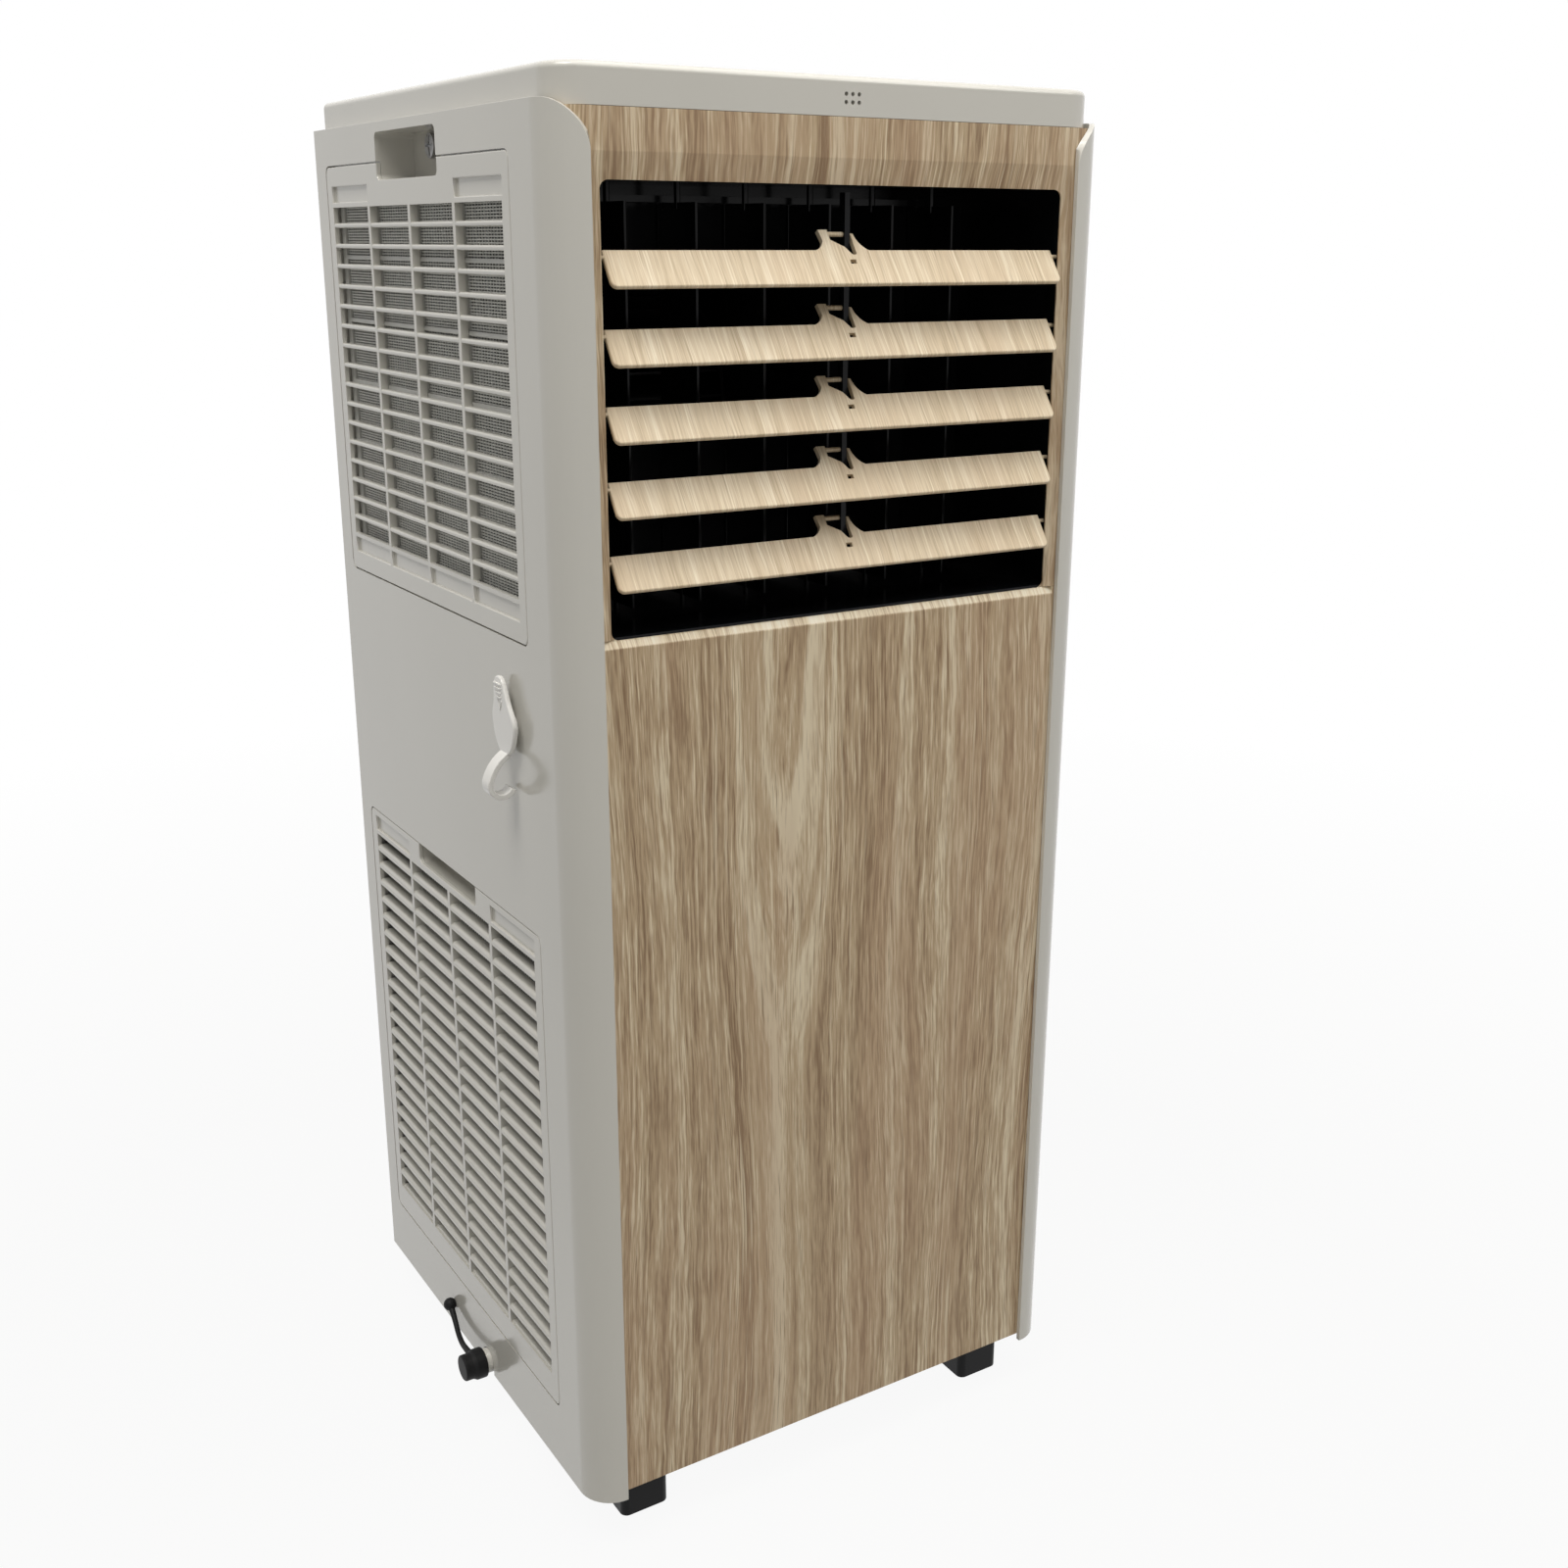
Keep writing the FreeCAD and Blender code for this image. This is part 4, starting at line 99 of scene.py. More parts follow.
makeCamera(cameraFacts)


# light and floor
lampFacts = [
    {
        "name": "ceilingPanel", "place": (0.3, -0.75, 2.3), "aim": (0.0, 0.0, 0.4),
        "size": 2.0, "power": 35,
    },
    {
        "name": "sidePanel", "place": (-1.05, -0.3, 2.6), "aim": (0.0, 0.0, 0.4),
        "size": 1.1, "power": 28,
    },
    {
        "name": "frontSpark", "place": (1.2, -1.5, 1.7), "aim": (0.0, 0.0, 0.5),
        "size": 0.5, "power": 3,
    },
]
roomFacts = {
    "wallTone": (1.0, 0.985, 0.95), "wallLight": 0.22, "lampTone": (1.0, 0.975, 0.925),
    "floorTone": (0.4, 0.4, 0.39), "floorWhite": 0.93, "floorHalf": 9.0,
    "fadeStart": 0.45, "fadeEnd": 1.5,
}


def makeLamp(facts, tone):
    data = bpy.data.lights.new(facts["name"], "AREA")
    data.color = tone
    data.size = facts["size"]
    data.energy = facts["power"]
    lamp = bpy.data.objects.new(facts["name"], data)
    place = Vector(facts["place"])
    turn = (Vector(facts["aim"]) - place).to_track_quat("-Z", "Y").to_matrix().to_4x4()
    lamp.matrix_world = Matrix.Translation(place) @ turn
    scene.collection.objects.link(lamp)


def joinMaths(tree, operation, first, second):
    made = tree.nodes.new("ShaderNodeMath")
    made.operation = operation
    tree.links.new(first, made.inputs[0])
    tree.links.new(second, made.inputs[1])
    return made.outputs[0]


def joinShaders(tree, share, first, second, output):
    mix = tree.nodes.new("ShaderNodeMixShader")
    tree.links.new(share, mix.inputs["Fac"])
    tree.links.new(first.outputs[0], mix.inputs[1])
    tree.links.new(second.outputs[0], mix.inputs[2])
    tree.links.new(mix.outputs[0], output.inputs["Surface"])


def seenShare(tree):
    # 1 for what the camera sees, straight or in a mirror or through glass
    path = tree.nodes.new("ShaderNodeLightPath").outputs
    direct = joinMaths(tree, "MAXIMUM", path["Is Camera Ray"], path["Is Glossy Ray"])
    return joinMaths(tree, "MAXIMUM", direct, path["Is Transmission Ray"])


def makeWorld(facts):
    world = bpy.data.worlds.new("studio")
    world.use_nodes = True
    scene.world = world
    tree = world.node_tree
    tree.nodes.clear()
    output = tree.nodes.new("ShaderNodeOutputWorld")
    soft = tree.nodes.new("ShaderNodeBackground")
    soft.inputs["Color"].default_value = (*facts["wallTone"], 1.0)
    soft.inputs["Strength"].default_value = facts["wallLight"]
    white = tree.nodes.new("ShaderNodeBackground")
    white.inputs["Color"].default_value = (1.0, 1.0, 1.0, 1.0)
    joinShaders(tree, seenShare(tree), soft, white, output)


def makeFloor(facts):
    bm = bmesh.new()
    bmesh.ops.create_grid(bm, x_segments=1, y_segments=1, size=facts["floorHalf"])
    mesh = bpy.data.meshes.new("floor")
    bm.to_mesh(mesh)
    bm.free()
    floor = bpy.data.objects.new("floor", mesh)
    scene.collection.objects.link(floor)
    paint = bpy.data.materials.new("paleFloor")
    paint.use_nodes = True
    tree = paint.node_tree
    tree.nodes.clear()
    output = tree.nodes.new("ShaderNodeOutputMaterial")
    matt = tree.nodes.new("ShaderNodeBsdfDiffuse")
    matt.inputs["Color"].default_value = (*facts["floorTone"], 1.0)
    glow = tree.nodes.new("ShaderNodeEmission")
    coords = tree.nodes.new("ShaderNodeTexCoord")
    reach = tree.nodes.new("ShaderNodeVectorMath")
    reach.operation = "LENGTH"
    tree.links.new(coords.outputs["Object"], reach.inputs[0])
    fade = tree.nodes.new("ShaderNodeMapRange")
    fade.inputs["From Min"].default_value = facts["fadeStart"]
    fade.inputs["From Max"].default_value = facts["fadeEnd"]
    fade.inputs["To Min"].default_value = facts["floorWhite"]
    tree.links.new(reach.outputs["Value"], fade.inputs["Value"])
    share = joinMaths(tree, "MULTIPLY", seenShare(tree), fade.outputs["Result"])
    joinShaders(tree, share, matt, glow, output)
    mesh.materials.append(paint)


for lamp in lampFacts:
    makeLamp(lamp, roomFacts["lampTone"])
makeWorld(roomFacts)
makeFloor(roomFacts)
print("camera, light and floor placed")


# finishes
class Finish:
    # a material with its shader and a few shorthand nodes
    def __init__(self, name, roughness=0.4, metallic=0.0):
        self.material = bpy.data.materials.new(name)
        self.material.use_nodes = True
        self.tree = self.material.node_tree
        self.shader = self.tree.nodes["Principled BSDF"]
        self.shader.inputs["Roughness"].default_value = roughness
        self.shader.inputs["Metallic"].default_value = metallic
        self.coords = None

    def node(self, kind, **values):
        made = self.tree.nodes.new("ShaderNode" + kind)
        for key, value in values.items():
            setattr(made, key, value)
        return made

    def link(self, start, end):
        self.tree.links.new(start, end)

    def objectCoords(self):
        if self.coords is None:
            self.coords = self.node("TexCoord").outputs["Object"]
        return self.coords

    def axes(self):
        split = self.node("SeparateXYZ")
        self.link(self.objectCoords(), split.inputs[0])
        return split.outputs

    def stretched(self, scale, vector=None):
        mapping = self.node("Mapping")
        mapping.inputs["Scale"].default_value = scale
        source = vector if vector is not None else self.objectCoords()
        self.link(source, mapping.inputs["Vector"])
        return mapping.outputs["Vector"]

    def noise(self, scale, detail=3.0, rough=0.55, vector=None):
        made = self.node("TexNoise")
        made.inputs["Scale"].default_value = 1.0
        made.inputs["Detail"].default_value = detail
        made.inputs["Roughness"].default_value = rough
        self.link(self.stretched(scale, vector), made.inputs["Vector"])
        return made.outputs["Fac"]

    def maths(self, operation, *terms):
        made = self.node("Math", operation=operation)
        for socket, term in zip(made.inputs, terms):
            if isinstance(term, (int, float)):
                socket.default_value = term
            else:
                self.link(term, socket)
        return made.outputs[0]

    def ramp(self, factor, stops):
        made = self.node("ValToRGB")
        line = made.color_ramp
        while len(line.elements) < len(stops):
            line.elements.new(0.5)
        for element, (spot, colour) in zip(line.elements, stops):
            element.position = spot
            element.color = (*colour, 1.0)
        self.link(factor, made.inputs["Fac"])
        return made.outputs["Color"]

    def level(self, factor, low, high, toLow, toHigh):
        made = self.node("MapRange")
        keys = ("From Min", "From Max", "To Min", "To Max")
        for key, value in zip(keys, (low, high, toLow, toHigh)):
            made.inputs[key].default_value = value
        self.link(factor, made.inputs["Value"])
        return made.outputs["Result"]

    def mix(self, factor, first, second):
        made = self.node("Mix", data_type="RGBA")
        sockets = (made.inputs["Factor"], made.inputs["A"], made.inputs["B"])
        for socket, value in zip(sockets, (factor, first, second)):
            if isinstance(value, (int, float)):
                socket.default_value = value
            elif isinstance(value, tuple):
                socket.default_value = (*value, 1.0)
            else:
                self.link(value, socket)
        return made.outputs["Result"]

    def bump(self, height, strength, distance):
        made = self.node("Bump")
        made.inputs["Strength"].default_value = strength
        made.inputs["Distance"].default_value = distance
        self.link(height, made.inputs["Height"])
        self.link(made.outputs["Normal"], self.shader.inputs["Normal"])

    def colour(self, source):
        self.link(source, self.shader.inputs["Base Color"])

    def roughness(self, source):
        self.link(source, self.shader.inputs["Roughness"])


darkEnd, lightEnd = 0.3, 0.7  # noise values that get a finish's first and last tone
plasticFacts = {
    "drift": ((9.0, 9.0, 6.0), 2.0), "haze": ((38.0, 38.0, 24.0), 4.0), "ripple": 0.25,
    "coatRough": 0.06, "grain": (1400.0, 0.00002), "rubberGrain": (2200.0, 0.00006),
}


def mouldedPlastic(name, low, high, rough, coat=0.0, grain=plasticFacts["grain"]):
    # moulded plastic with faint tone drift, uneven gloss and a fine surface ripple
    finish = Finish(name)
    drift = finish.noise(*plasticFacts["drift"])
    finish.colour(finish.ramp(drift, [(darkEnd, low), (lightEnd, high)]))
    haze = finish.noise(*plasticFacts["haze"])
    finish.roughness(finish.level(haze, darkEnd, lightEnd, *rough))
    scale, depth = grain
    finish.bump(finish.noise((scale,) * 3, 1.0), plasticFacts["ripple"], depth)
    finish.shader.inputs["Coat Weight"].default_value = coat
    finish.shader.inputs["Coat Roughness"].default_value = plasticFacts["coatRough"]
    return finish.material


oakFacts = {
    "panel": {
        "base": (0.510, 0.380, 0.238), "dark": (0.255, 0.160, 0.086),
        "light": (0.800, 0.690, 0.505), "rose": (0.490, 0.325, 0.205), "span": (0.412, 0.584),
        "archX": shiftX - 0.033, "archTop": 0.500, "archReach": 0.24, "lean": 0.115,
        # pale: the sill bevel's tone, partly stretched film and partly painted light
        "sway": 0.050, "fine": 1.0, "pale": (0.900, 0.835, 0.690), "sillTop": 0.4765,
        "sillDrop": 3.5 * mm, "sillFade": 0.3 * mm, "face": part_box("front_panel")[0].y,
    },
    "louvre": {
        "base": (0.670, 0.545, 0.378), "dark": (0.465, 0.350, 0.215),
        "light": (0.865, 0.775, 0.610), "rose": (0.655, 0.505, 0.345), "span": (0.370, 0.630),
        "archX": shiftX - 0.400, "archTop": 0.0, "archReach": 0.0, "lean": 0.0,
        "sway": 0.006, "fine": 2.0,
    },
}
# each noise of the grain: stretch along x, y and z, detail, roughness
grainNoise = {
    "sway": ((9.0, 0.0, 2.0), 1.5, 0.55),
    "tremble": ((60.0, 0.0, 26.0), 2.0, 0.55),
    "fields": ((120.0, 1.0, 1.2), 4.0, 0.62),
    "lines": ((520.0, 1.0, 19.0), 3.0, 0.7),
    "flecks": ((1300.0, 1.0, 70.0), 2.0, 0.6),
    "blush": ((30.0, 1.0, 3.5), 2.0, 0.5),
    "cluster": ((75.0, 1.0, 1.2), 2.0, 0.5),
    "rays": ((520.0, 1.0, 9.0), 2.5, 0.6),
    "pores": ((760.0, 1.0, 26.0), 2.0, 0.6),
}
# spans of values, and what their ends turn into
grainLevels = {
    "crown": (-0.007, 0.007, -0.35, 0.35),
    "calm": (0.008, 0.034, 0.16, 0.60),
    "blush": (0.46, 0.62, 0.0, 0.5),
    "cluster": (0.48, 0.62, 0.15, 1.0),
    "rays": (0.55, 0.65, 0.0, 0.8),
    "pores": (0.57, 0.70, 0.0, 0.75),
    "gloss": (darkEnd, lightEnd, 0.54, 0.44),
}
grainShares = {
    "tremble": 0.0030, "flecks": 0.20, "rose": 0.65, "plain": (0.495, 0.51), "middle": 0.5,
    "relief": (0.35, 0.0001), "gloss": 0.5,
}


def sillShare(finish, axes, facts):
    # 1 on the bevel along the outlet's sill, 0 elsewhere; it places the sill's paler film and
    # painted light
    top, step = facts["sillTop"], facts["sillFade"]
    foot, front = top - facts["sillDrop"], facts["face"] + 0.1 * mm
    inside = finish.level(axes["Y"], front, front + step, 0.0, 1.0)
    above = finish.level(axes["Z"], foot - 2 * step, foot - step, 0.0, 1.0)
    under = finish.level(axes["Z"], top + step, top + 2 * step, 1.0, 0.0)
    return finish.maths("MULTIPLY", inside, finish.maths("MULTIPLY", above, under))


def oakGrain(name, facts):
    # printed oak: broad fields close into arches, short pores and rays run upright over them
    finish = Finish(name, grainShares["gloss"])
    axes = finish.axes()

    def grain(key, vector=None, fine=1.0):
        (x, y, z), detail, rough = grainNoise[key]
        return finish.noise((x * fine, y, z), detail, rough, vector)

    def wander(key, size):
        return finish.maths("MULTIPLY_ADD", grain(key), size, -size / 2)

    across = finish.maths("ADD", axes["X"], wander("sway", facts["sway"]))
    across = finish.maths("ADD", across, wander("tremble", grainShares["tremble"]))
    across = finish.maths("SUBTRACT", across, facts["archX"])
    below = finish.maths("SUBTRACT", facts["archTop"], axes["Z"])
    below = finish.maths("MINIMUM", finish.maths("MAXIMUM", below, 0.0), facts["archReach"])
    drop = finish.maths("MULTIPLY", below, facts["lean"])
    squares = [finish.maths("MULTIPLY", length, length) for length in (across, drop)]
    arched, upright = finish.node("CombineXYZ"), finish.node("CombineXYZ")
    finish.link(finish.maths("SQRT", finish.maths("ADD", *squares)), arched.inputs["X"])
    finish.link(finish.level(across, *grainLevels["crown"]), arched.inputs["Y"])
    finish.link(across, upright.inputs["X"])
    for joined in (arched, upright):
        finish.link(axes["Z"], joined.inputs["Z"])
    arched, upright, fine = arched.outputs[0], upright.outputs[0], facts["fine"]

    fields = grain("fields", arched, fine)
    calm = finish.level(finish.maths("ABSOLUTE", across), *grainLevels["calm"])
    tone = finish.mix(calm, fields, grain("lines", upright, fine))
    tone = finish.mix(grainShares["flecks"], tone, grain("flecks", upright))
    base, dark, light = facts["base"], facts["dark"], facts["light"]
    low, high = facts["span"]
    plainLow, plainHigh = grainShares["plain"]
    stops = [(low, dark), (plainLow, base), (plainHigh, base), (high, light)]
    wood = finish.ramp(tone, stops)
    blush = finish.level(grain("blush", arched), *grainLevels["blush"])
    wood = finish.mix(blush, wood, finish.mix(grainShares["rose"], wood, facts["rose"]))
    cluster = finish.level(grain("cluster", arched, fine), *grainLevels["cluster"])
    rays = finish.level(grain("rays", upright, fine), *grainLevels["rays"])
    wood = finish.mix(finish.maths("MULTIPLY", rays, cluster), wood, light)
    pores = finish.level(grain("pores", upright), *grainLevels["pores"])
    wood = finish.mix(pores, wood, dark)
    if "sillTop" in facts:
        # the sill's bevel is paler: partly the printed film stretched over it, partly painted
        # light that lifts the bevel out of the shade under the louvres
        stops = [(low, base), (grainShares["middle"], light), (high, facts["pale"])]
        wood = finish.mix(sillShare(finish, axes, facts), wood, finish.ramp(tone, stops))
    finish.colour(wood)
    finish.roughness(finish.level(fields, *grainLevels["gloss"]))
    finish.bump(tone, *grainShares["relief"])
    return finish.material


threadFacts = {
    "gloss": 0.6, "weave": 700.0, "low": (0.70, 0.70, 0.67), "high": (0.86, 0.86, 0.83),
    "fibre": 2600.0, "relief": (0.4, 0.00004),
}


def netThread(name, facts):
    finish = Finish(name, facts["gloss"])
    weave = finish.noise((facts["weave"],) * 3, 1.0)
    finish.colour(finish.ramp(weave, [(darkEnd, facts["low"]), (lightEnd, facts["high"])]))
    finish.bump(finish.noise((facts["fibre"],) * 3, 1.0), *facts["relief"])
    return finish.material


# gap colour: painted shade standing in for the dark space between the fins
finFacts = {
    "pitch": 2.8 * mm, "gloss": 0.45, "metal": 0.7, "edge": (-0.2, 0.95, 0.0, 1.0),
    "dull": (60.0, 60.0, 14.0), "low": (0.30, 0.30, 0.31), "high": (0.46, 0.47, 0.48),
    "shadedGap": (0.035, 0.035, 0.037), "relief": (0.5, 0.0003),
}


def finStack(name, facts):
    # thin upright fins: narrow bright edges, with painted shade for the deep dark gaps between
    # them
    finish = Finish(name, facts["gloss"], facts["metal"])
    turns = finish.maths("MULTIPLY", finish.axes()["Y"], 2 * math.pi / facts["pitch"])
    wave = finish.maths("SINE", turns)
    dull = finish.noise(facts["dull"], 3.0)
    bright = finish.ramp(dull, [(darkEnd, facts["low"]), (lightEnd, facts["high"])])
    finish.colour(finish.mix(finish.level(wave, *facts["edge"]), facts["shadedGap"], bright))
    finish.bump(wave, *facts["relief"])
    return finish.material


metalFacts = {"gloss": 0.3, "relief": (0.2, 0.00003)}


def brushedMetal(name, low, high, rough, scale):
    finish = Finish(name, metalFacts["gloss"], 1.0)
    lines = finish.noise(scale, 3.0)
    finish.colour(finish.ramp(lines, [(darkEnd, low), (lightEnd, high)]))
    finish.roughness(finish.level(lines, darkEnd, lightEnd, *rough))
    finish.bump(lines, *metalFacts["relief"])
    return finish.material


finishes = {
    "white_plastic": mouldedPlastic(
        "whiteShell", (0.630, 0.616, 0.572), (0.655, 0.641, 0.596), (0.14, 0.20), 0.2
    ),
    "oak_panel": oakGrain("oakFront", oakFacts["panel"]),
    "oak_louvre": oakGrain("oakLouvre", oakFacts["louvre"]),
    "black_gloss": mouldedPlastic(
        "blackDuct", (0.003, 0.0033, 0.004), (0.006, 0.0064, 0.0075), (0.14, 0.22)
    ),
    "black_satin": mouldedPlastic(
        "blackSatin", (0.005, 0.005, 0.0056), (0.009, 0.009, 0.0098), (0.34, 0.46)
    ),
    "rubber": mouldedPlastic(
        "plugRubber", (0.006, 0.006, 0.0066), (0.011, 0.011, 0.0118), (0.42, 0.56), 0.0,
        plasticFacts["rubberGrain"],
    ),
    "screw_steel": brushedMetal(
        "screwSteel", (0.36, 0.36, 0.37), (0.52, 0.52, 0.53), (0.26, 0.42), (400.0,) * 3
    ),
    "zinc_sheet": brushedMetal(
        "zincSheet", (0.42, 0.43, 0.44), (0.58, 0.59, 0.6), (0.36, 0.52), (30.0, 90.0, 30.0)
    ),
    "coil_fins": finStack("coilFins", finFacts),
    "copper_tube": brushedMetal(
        "copperTube", (0.62, 0.3, 0.17), (0.78, 0.42, 0.27), (0.26, 0.42), (60.0, 60.0, 20.0)
    ),
    "motor_can": brushedMetal(
        "motorCan", (0.36, 0.36, 0.37), (0.5, 0.5, 0.51), (0.3, 0.46), (60.0, 200.0, 200.0)
    ),
    "compressor_black": mouldedPlastic(
        "compressorPaint", (0.01, 0.01, 0.011), (0.02, 0.02, 0.021), (0.3, 0.42)
    ),
    "filter_net": netThread("filterNet", threadFacts),
    "filter_grey": mouldedPlastic(
        "filterFrame", (0.50, 0.50, 0.475), (0.56, 0.56, 0.535), (0.36, 0.48)
    ),
    "display_dark": mouldedPlastic(
        "displayTint", (0.01, 0.012, 0.015), (0.016, 0.018, 0.022), (0.06, 0.1), 0.5
    ),
    "circuit_board": mouldedPlastic(
        "boardGreen", (0.02, 0.1, 0.04), (0.035, 0.14, 0.06), (0.34, 0.46)
    ),
}
# hook plastic lighter than the shell: partly a whiter moulding, partly painted light standing in
# for the light the leaf catches
litHookWhite = mouldedPlastic(
    "litHookWhite", (0.860, 0.850, 0.825), (0.890, 0.880, 0.855), (0.2, 0.28), 0.2
)
blackShine = 0.16  # weaker mirror than other plastics
for slotName in ("black_gloss", "black_satin", "rubber"):
    shader = finishes[slotName].node_tree.nodes["Principled BSDF"]
    shader.inputs["Specular IOR Level"].default_value = blackShine
for node, slotName in slotOf.items():
    skin = nodeObjects[node].data
    skin.materials.clear()
    skin.materials.append(finishes[slotName])
print("finishes made,", len(finishes))


# pieces
meshFacts = {"weld": 2e-6, "flat": 0.4, "sliver": 1e-5, "seam": 1e-6, "evenWeight": 60}


def addPiece(name, bm, body, slotName, replaced=(), sharpAngle=35.0):
    mesh = bpy.data.meshes.new(name)
    bm.to_mesh(mesh)
    bm.free()
    mesh.polygons.foreach_set("use_smooth", [True] * len(mesh.polygons))
    mesh.set_sharp_from_angle(angle=math.radians(sharpAngle))
    mesh.materials.append(finishes[slotName])
    piece = bpy.data.objects.new(name, mesh)
    scene.collection.objects.link(piece)
    even = piece.modifiers.new("evenNormals", "WEIGHTED_NORMAL")
    even.keep_sharp = True
    even.weight = meshFacts["evenWeight"]
    if body:
        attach(piece, body)
    if replaced:
        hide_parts(*replaced)
    return piece


def dropSlivers(bm, reach):
    bmesh.ops.remove_doubles(bm, verts=bm.verts[:], dist=reach)
    bmesh.ops.dissolve_degenerate(bm, dist=reach, edges=bm.edges[:])


def mergedCopy(node, reshape=None):
    # the solid's triangles joined up, with flat faces made whole again
    bm = bmesh.new()
    bm.from_mesh(nodeObjects[node].data)
    bmesh.ops.remove_doubles(bm, verts=bm.verts[:], dist=meshFacts["weld"])
    if reshape:
        reshape(bm)
        dropSlivers(bm, meshFacts["weld"])
    flat = math.radians(meshFacts["flat"])
    bmesh.ops.dissolve_limit(bm, angle_limit=flat, verts=bm.verts[:], edges=bm.edges[:])
    return bm


def bevelEdges(bm, edges, offset, segments, clamp=True):
    bmesh.ops.bevel(
        bm, geom=edges, offset=offset, offset_type="OFFSET", segments=segments, profile=0.5,
        affect="EDGES", clamp_overlap=clamp, material=-1,
    )


def roundEdges(bm, offset, segments, wanted=None, least=40.0, most=180.0, clamp=True):
    sharp = []
    for edge in bm.edges:
        if len(edge.link_faces) != 2:
            continue
        if not least <= math.degrees(edge.calc_face_angle_signed(0.0)) <= most:
            continue
        if wanted is None or wanted(edge):
            sharp.append(edge)
    if sharp:
        bevelEdges(bm, sharp, offset, segments, clamp)


def addBlock(bm, spot, size, turn=None):
    block = bmesh.ops.create_cube(bm, size=1.0)
    shape = Matrix.Translation(spot)
    if turn is not None:
        shape = shape @ turn
    shape = shape @ Matrix.Diagonal((*size, 1.0))
    bmesh.ops.transform(bm, matrix=shape, verts=block["verts"])
    return block["verts"]


panelFacts = {
    "rim": 1.0 * mm, "rimSteps": 3, "seam": 0.45 * mm, "seamSteps": 2, "bend": 18.0 * mm,
    "near": 0.12 * mm, "inset": 12.0 * mm, "margin": 1.0 * mm, "sharp": 32.0,
}


def softPanel(node, name, hand, facts):
    # a side panel with its outer rims rounded, and finer edges round the windows
    low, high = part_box(node)
    side = high.x if hand > 0 else low.x
    axis = Vector((side - hand * facts["bend"], low.y + facts["bend"]))
    margin = facts["margin"]

    def outside(point):
        if point.y > axis.y:
            return abs(point.x - side) < facts["near"]
        if (point.x - axis.x) * hand < 0:
            return abs(point.y - low.y) < facts["near"]
        return abs((point.xy - axis).length - facts["bend"]) < facts["near"]

    def onWindow(edge):
        return all(outside(v.co) for v in edge.verts)

    def onRim(edge):
        middle = (edge.verts[0].co + edge.verts[1].co) / 2
        inner = axis.y + facts["inset"] < middle.y < high.y - margin
        inner = inner and low.z + margin < middle.z < high.z - margin
        return onWindow(edge) and not inner

    bm = mergedCopy(node)
    roundEdges(bm, facts["rim"], facts["rimSteps"], onRim)
    roundEdges(bm, facts["seam"], facts["seamSteps"], onWindow)
    addPiece(name, bm, "cabinet", slotOf[node], [node], facts["sharp"])


softPanel("left_side_panel", "leftShell", -1, panelFacts)
softPanel("right_side_panel", "rightShell", 1, panelFacts)

sillFacts = {
    "half": 140.0 * mm, "foot": 0.4757, "edge": 0.4786, "corner": 0.4832, "drop": 2.0 * mm,
    "depth": 2.4 * mm,
}


def flatSill(bm):
    # the outlet's sill as a flat bevel, a little lower than the solid's rolled edge
    wood = oakFacts["panel"]
    for vert in bm.verts:
        if abs(vert.co.x - shiftX) > sillFacts["half"]:
            continue
        if not sillFacts["foot"] <= vert.co.z <= sillFacts["corner"]:
            continue
        if vert.co.z > sillFacts["edge"]:
            vert.co.z -= sillFacts["drop"]
        else:
            share = min((vert.co.y - wood["face"]) / sillFacts["depth"], 1.0)
            vert.co.z = wood["sillTop"] - wood["sillDrop"] * (1 - share)


casterPlaces = ("front_left", "front_right", "rear_left", "rear_right")
# round: millimetres off the sharp edges, crease: off the shallow ones,
# band: height of a grille cover's blank fields
softFacts = {
    "front_panel": {"name": "oakBoard", "round": 0.5, "crease": 0.4},
    "top_cover": {"name": "lid", "round": 0.5},
    "control_panel": {"name": "controlPlate", "round": 0.4},
    "upper_grille": {"name": "upperGrilleCover", "round": 0.6, "band": 18.5},
    "lower_grille": {"name": "lowerGrilleCover", "round": 0.6, "band": 13.0},
    "back_panel": {"name": "backSheet", "round": 0.5},
    "exhaust_socket": {"name": "exhaustRing", "round": 0.5},
    "cord_gland": {"name": "leadGland", "round": 0.5},
    "drain_spigot": {"name": "drainPipe", "round": 0.4},
    "recess_screw": {"name": "recessScrew", "round": 0.0},
    "drain_plug": {"name": "plugBody", "round": 0.6},
    "cover_screws": {"name": "backScrews", "round": 0.0},
    "louvre_link_rod": {"name": "louvreRod", "round": 0.2},
    "outlet_duct": {"name": "ductShell", "round": 0.0},
    **{f"louvre_{i}": {"name": f"oakLouvre{i}", "round": 0.35} for i in range(1, 6)},
    **{f"button_{i}": {"name": f"pushButton{i}", "round": 0.5} for i in range(1, 6)},
    **{f"caster_fork_{w}": {"name": f"casterHood_{w}", "round": 0.8} for w in casterPlaces},
    **{f"caster_wheels_{w}": {"name": f"casterWheels_{w}", "round": 0.0} for w in casterPlaces},
}
softAngles = {"creaseLeast": 9.5, "creaseMost": 40.0, "sharp": 32.0}


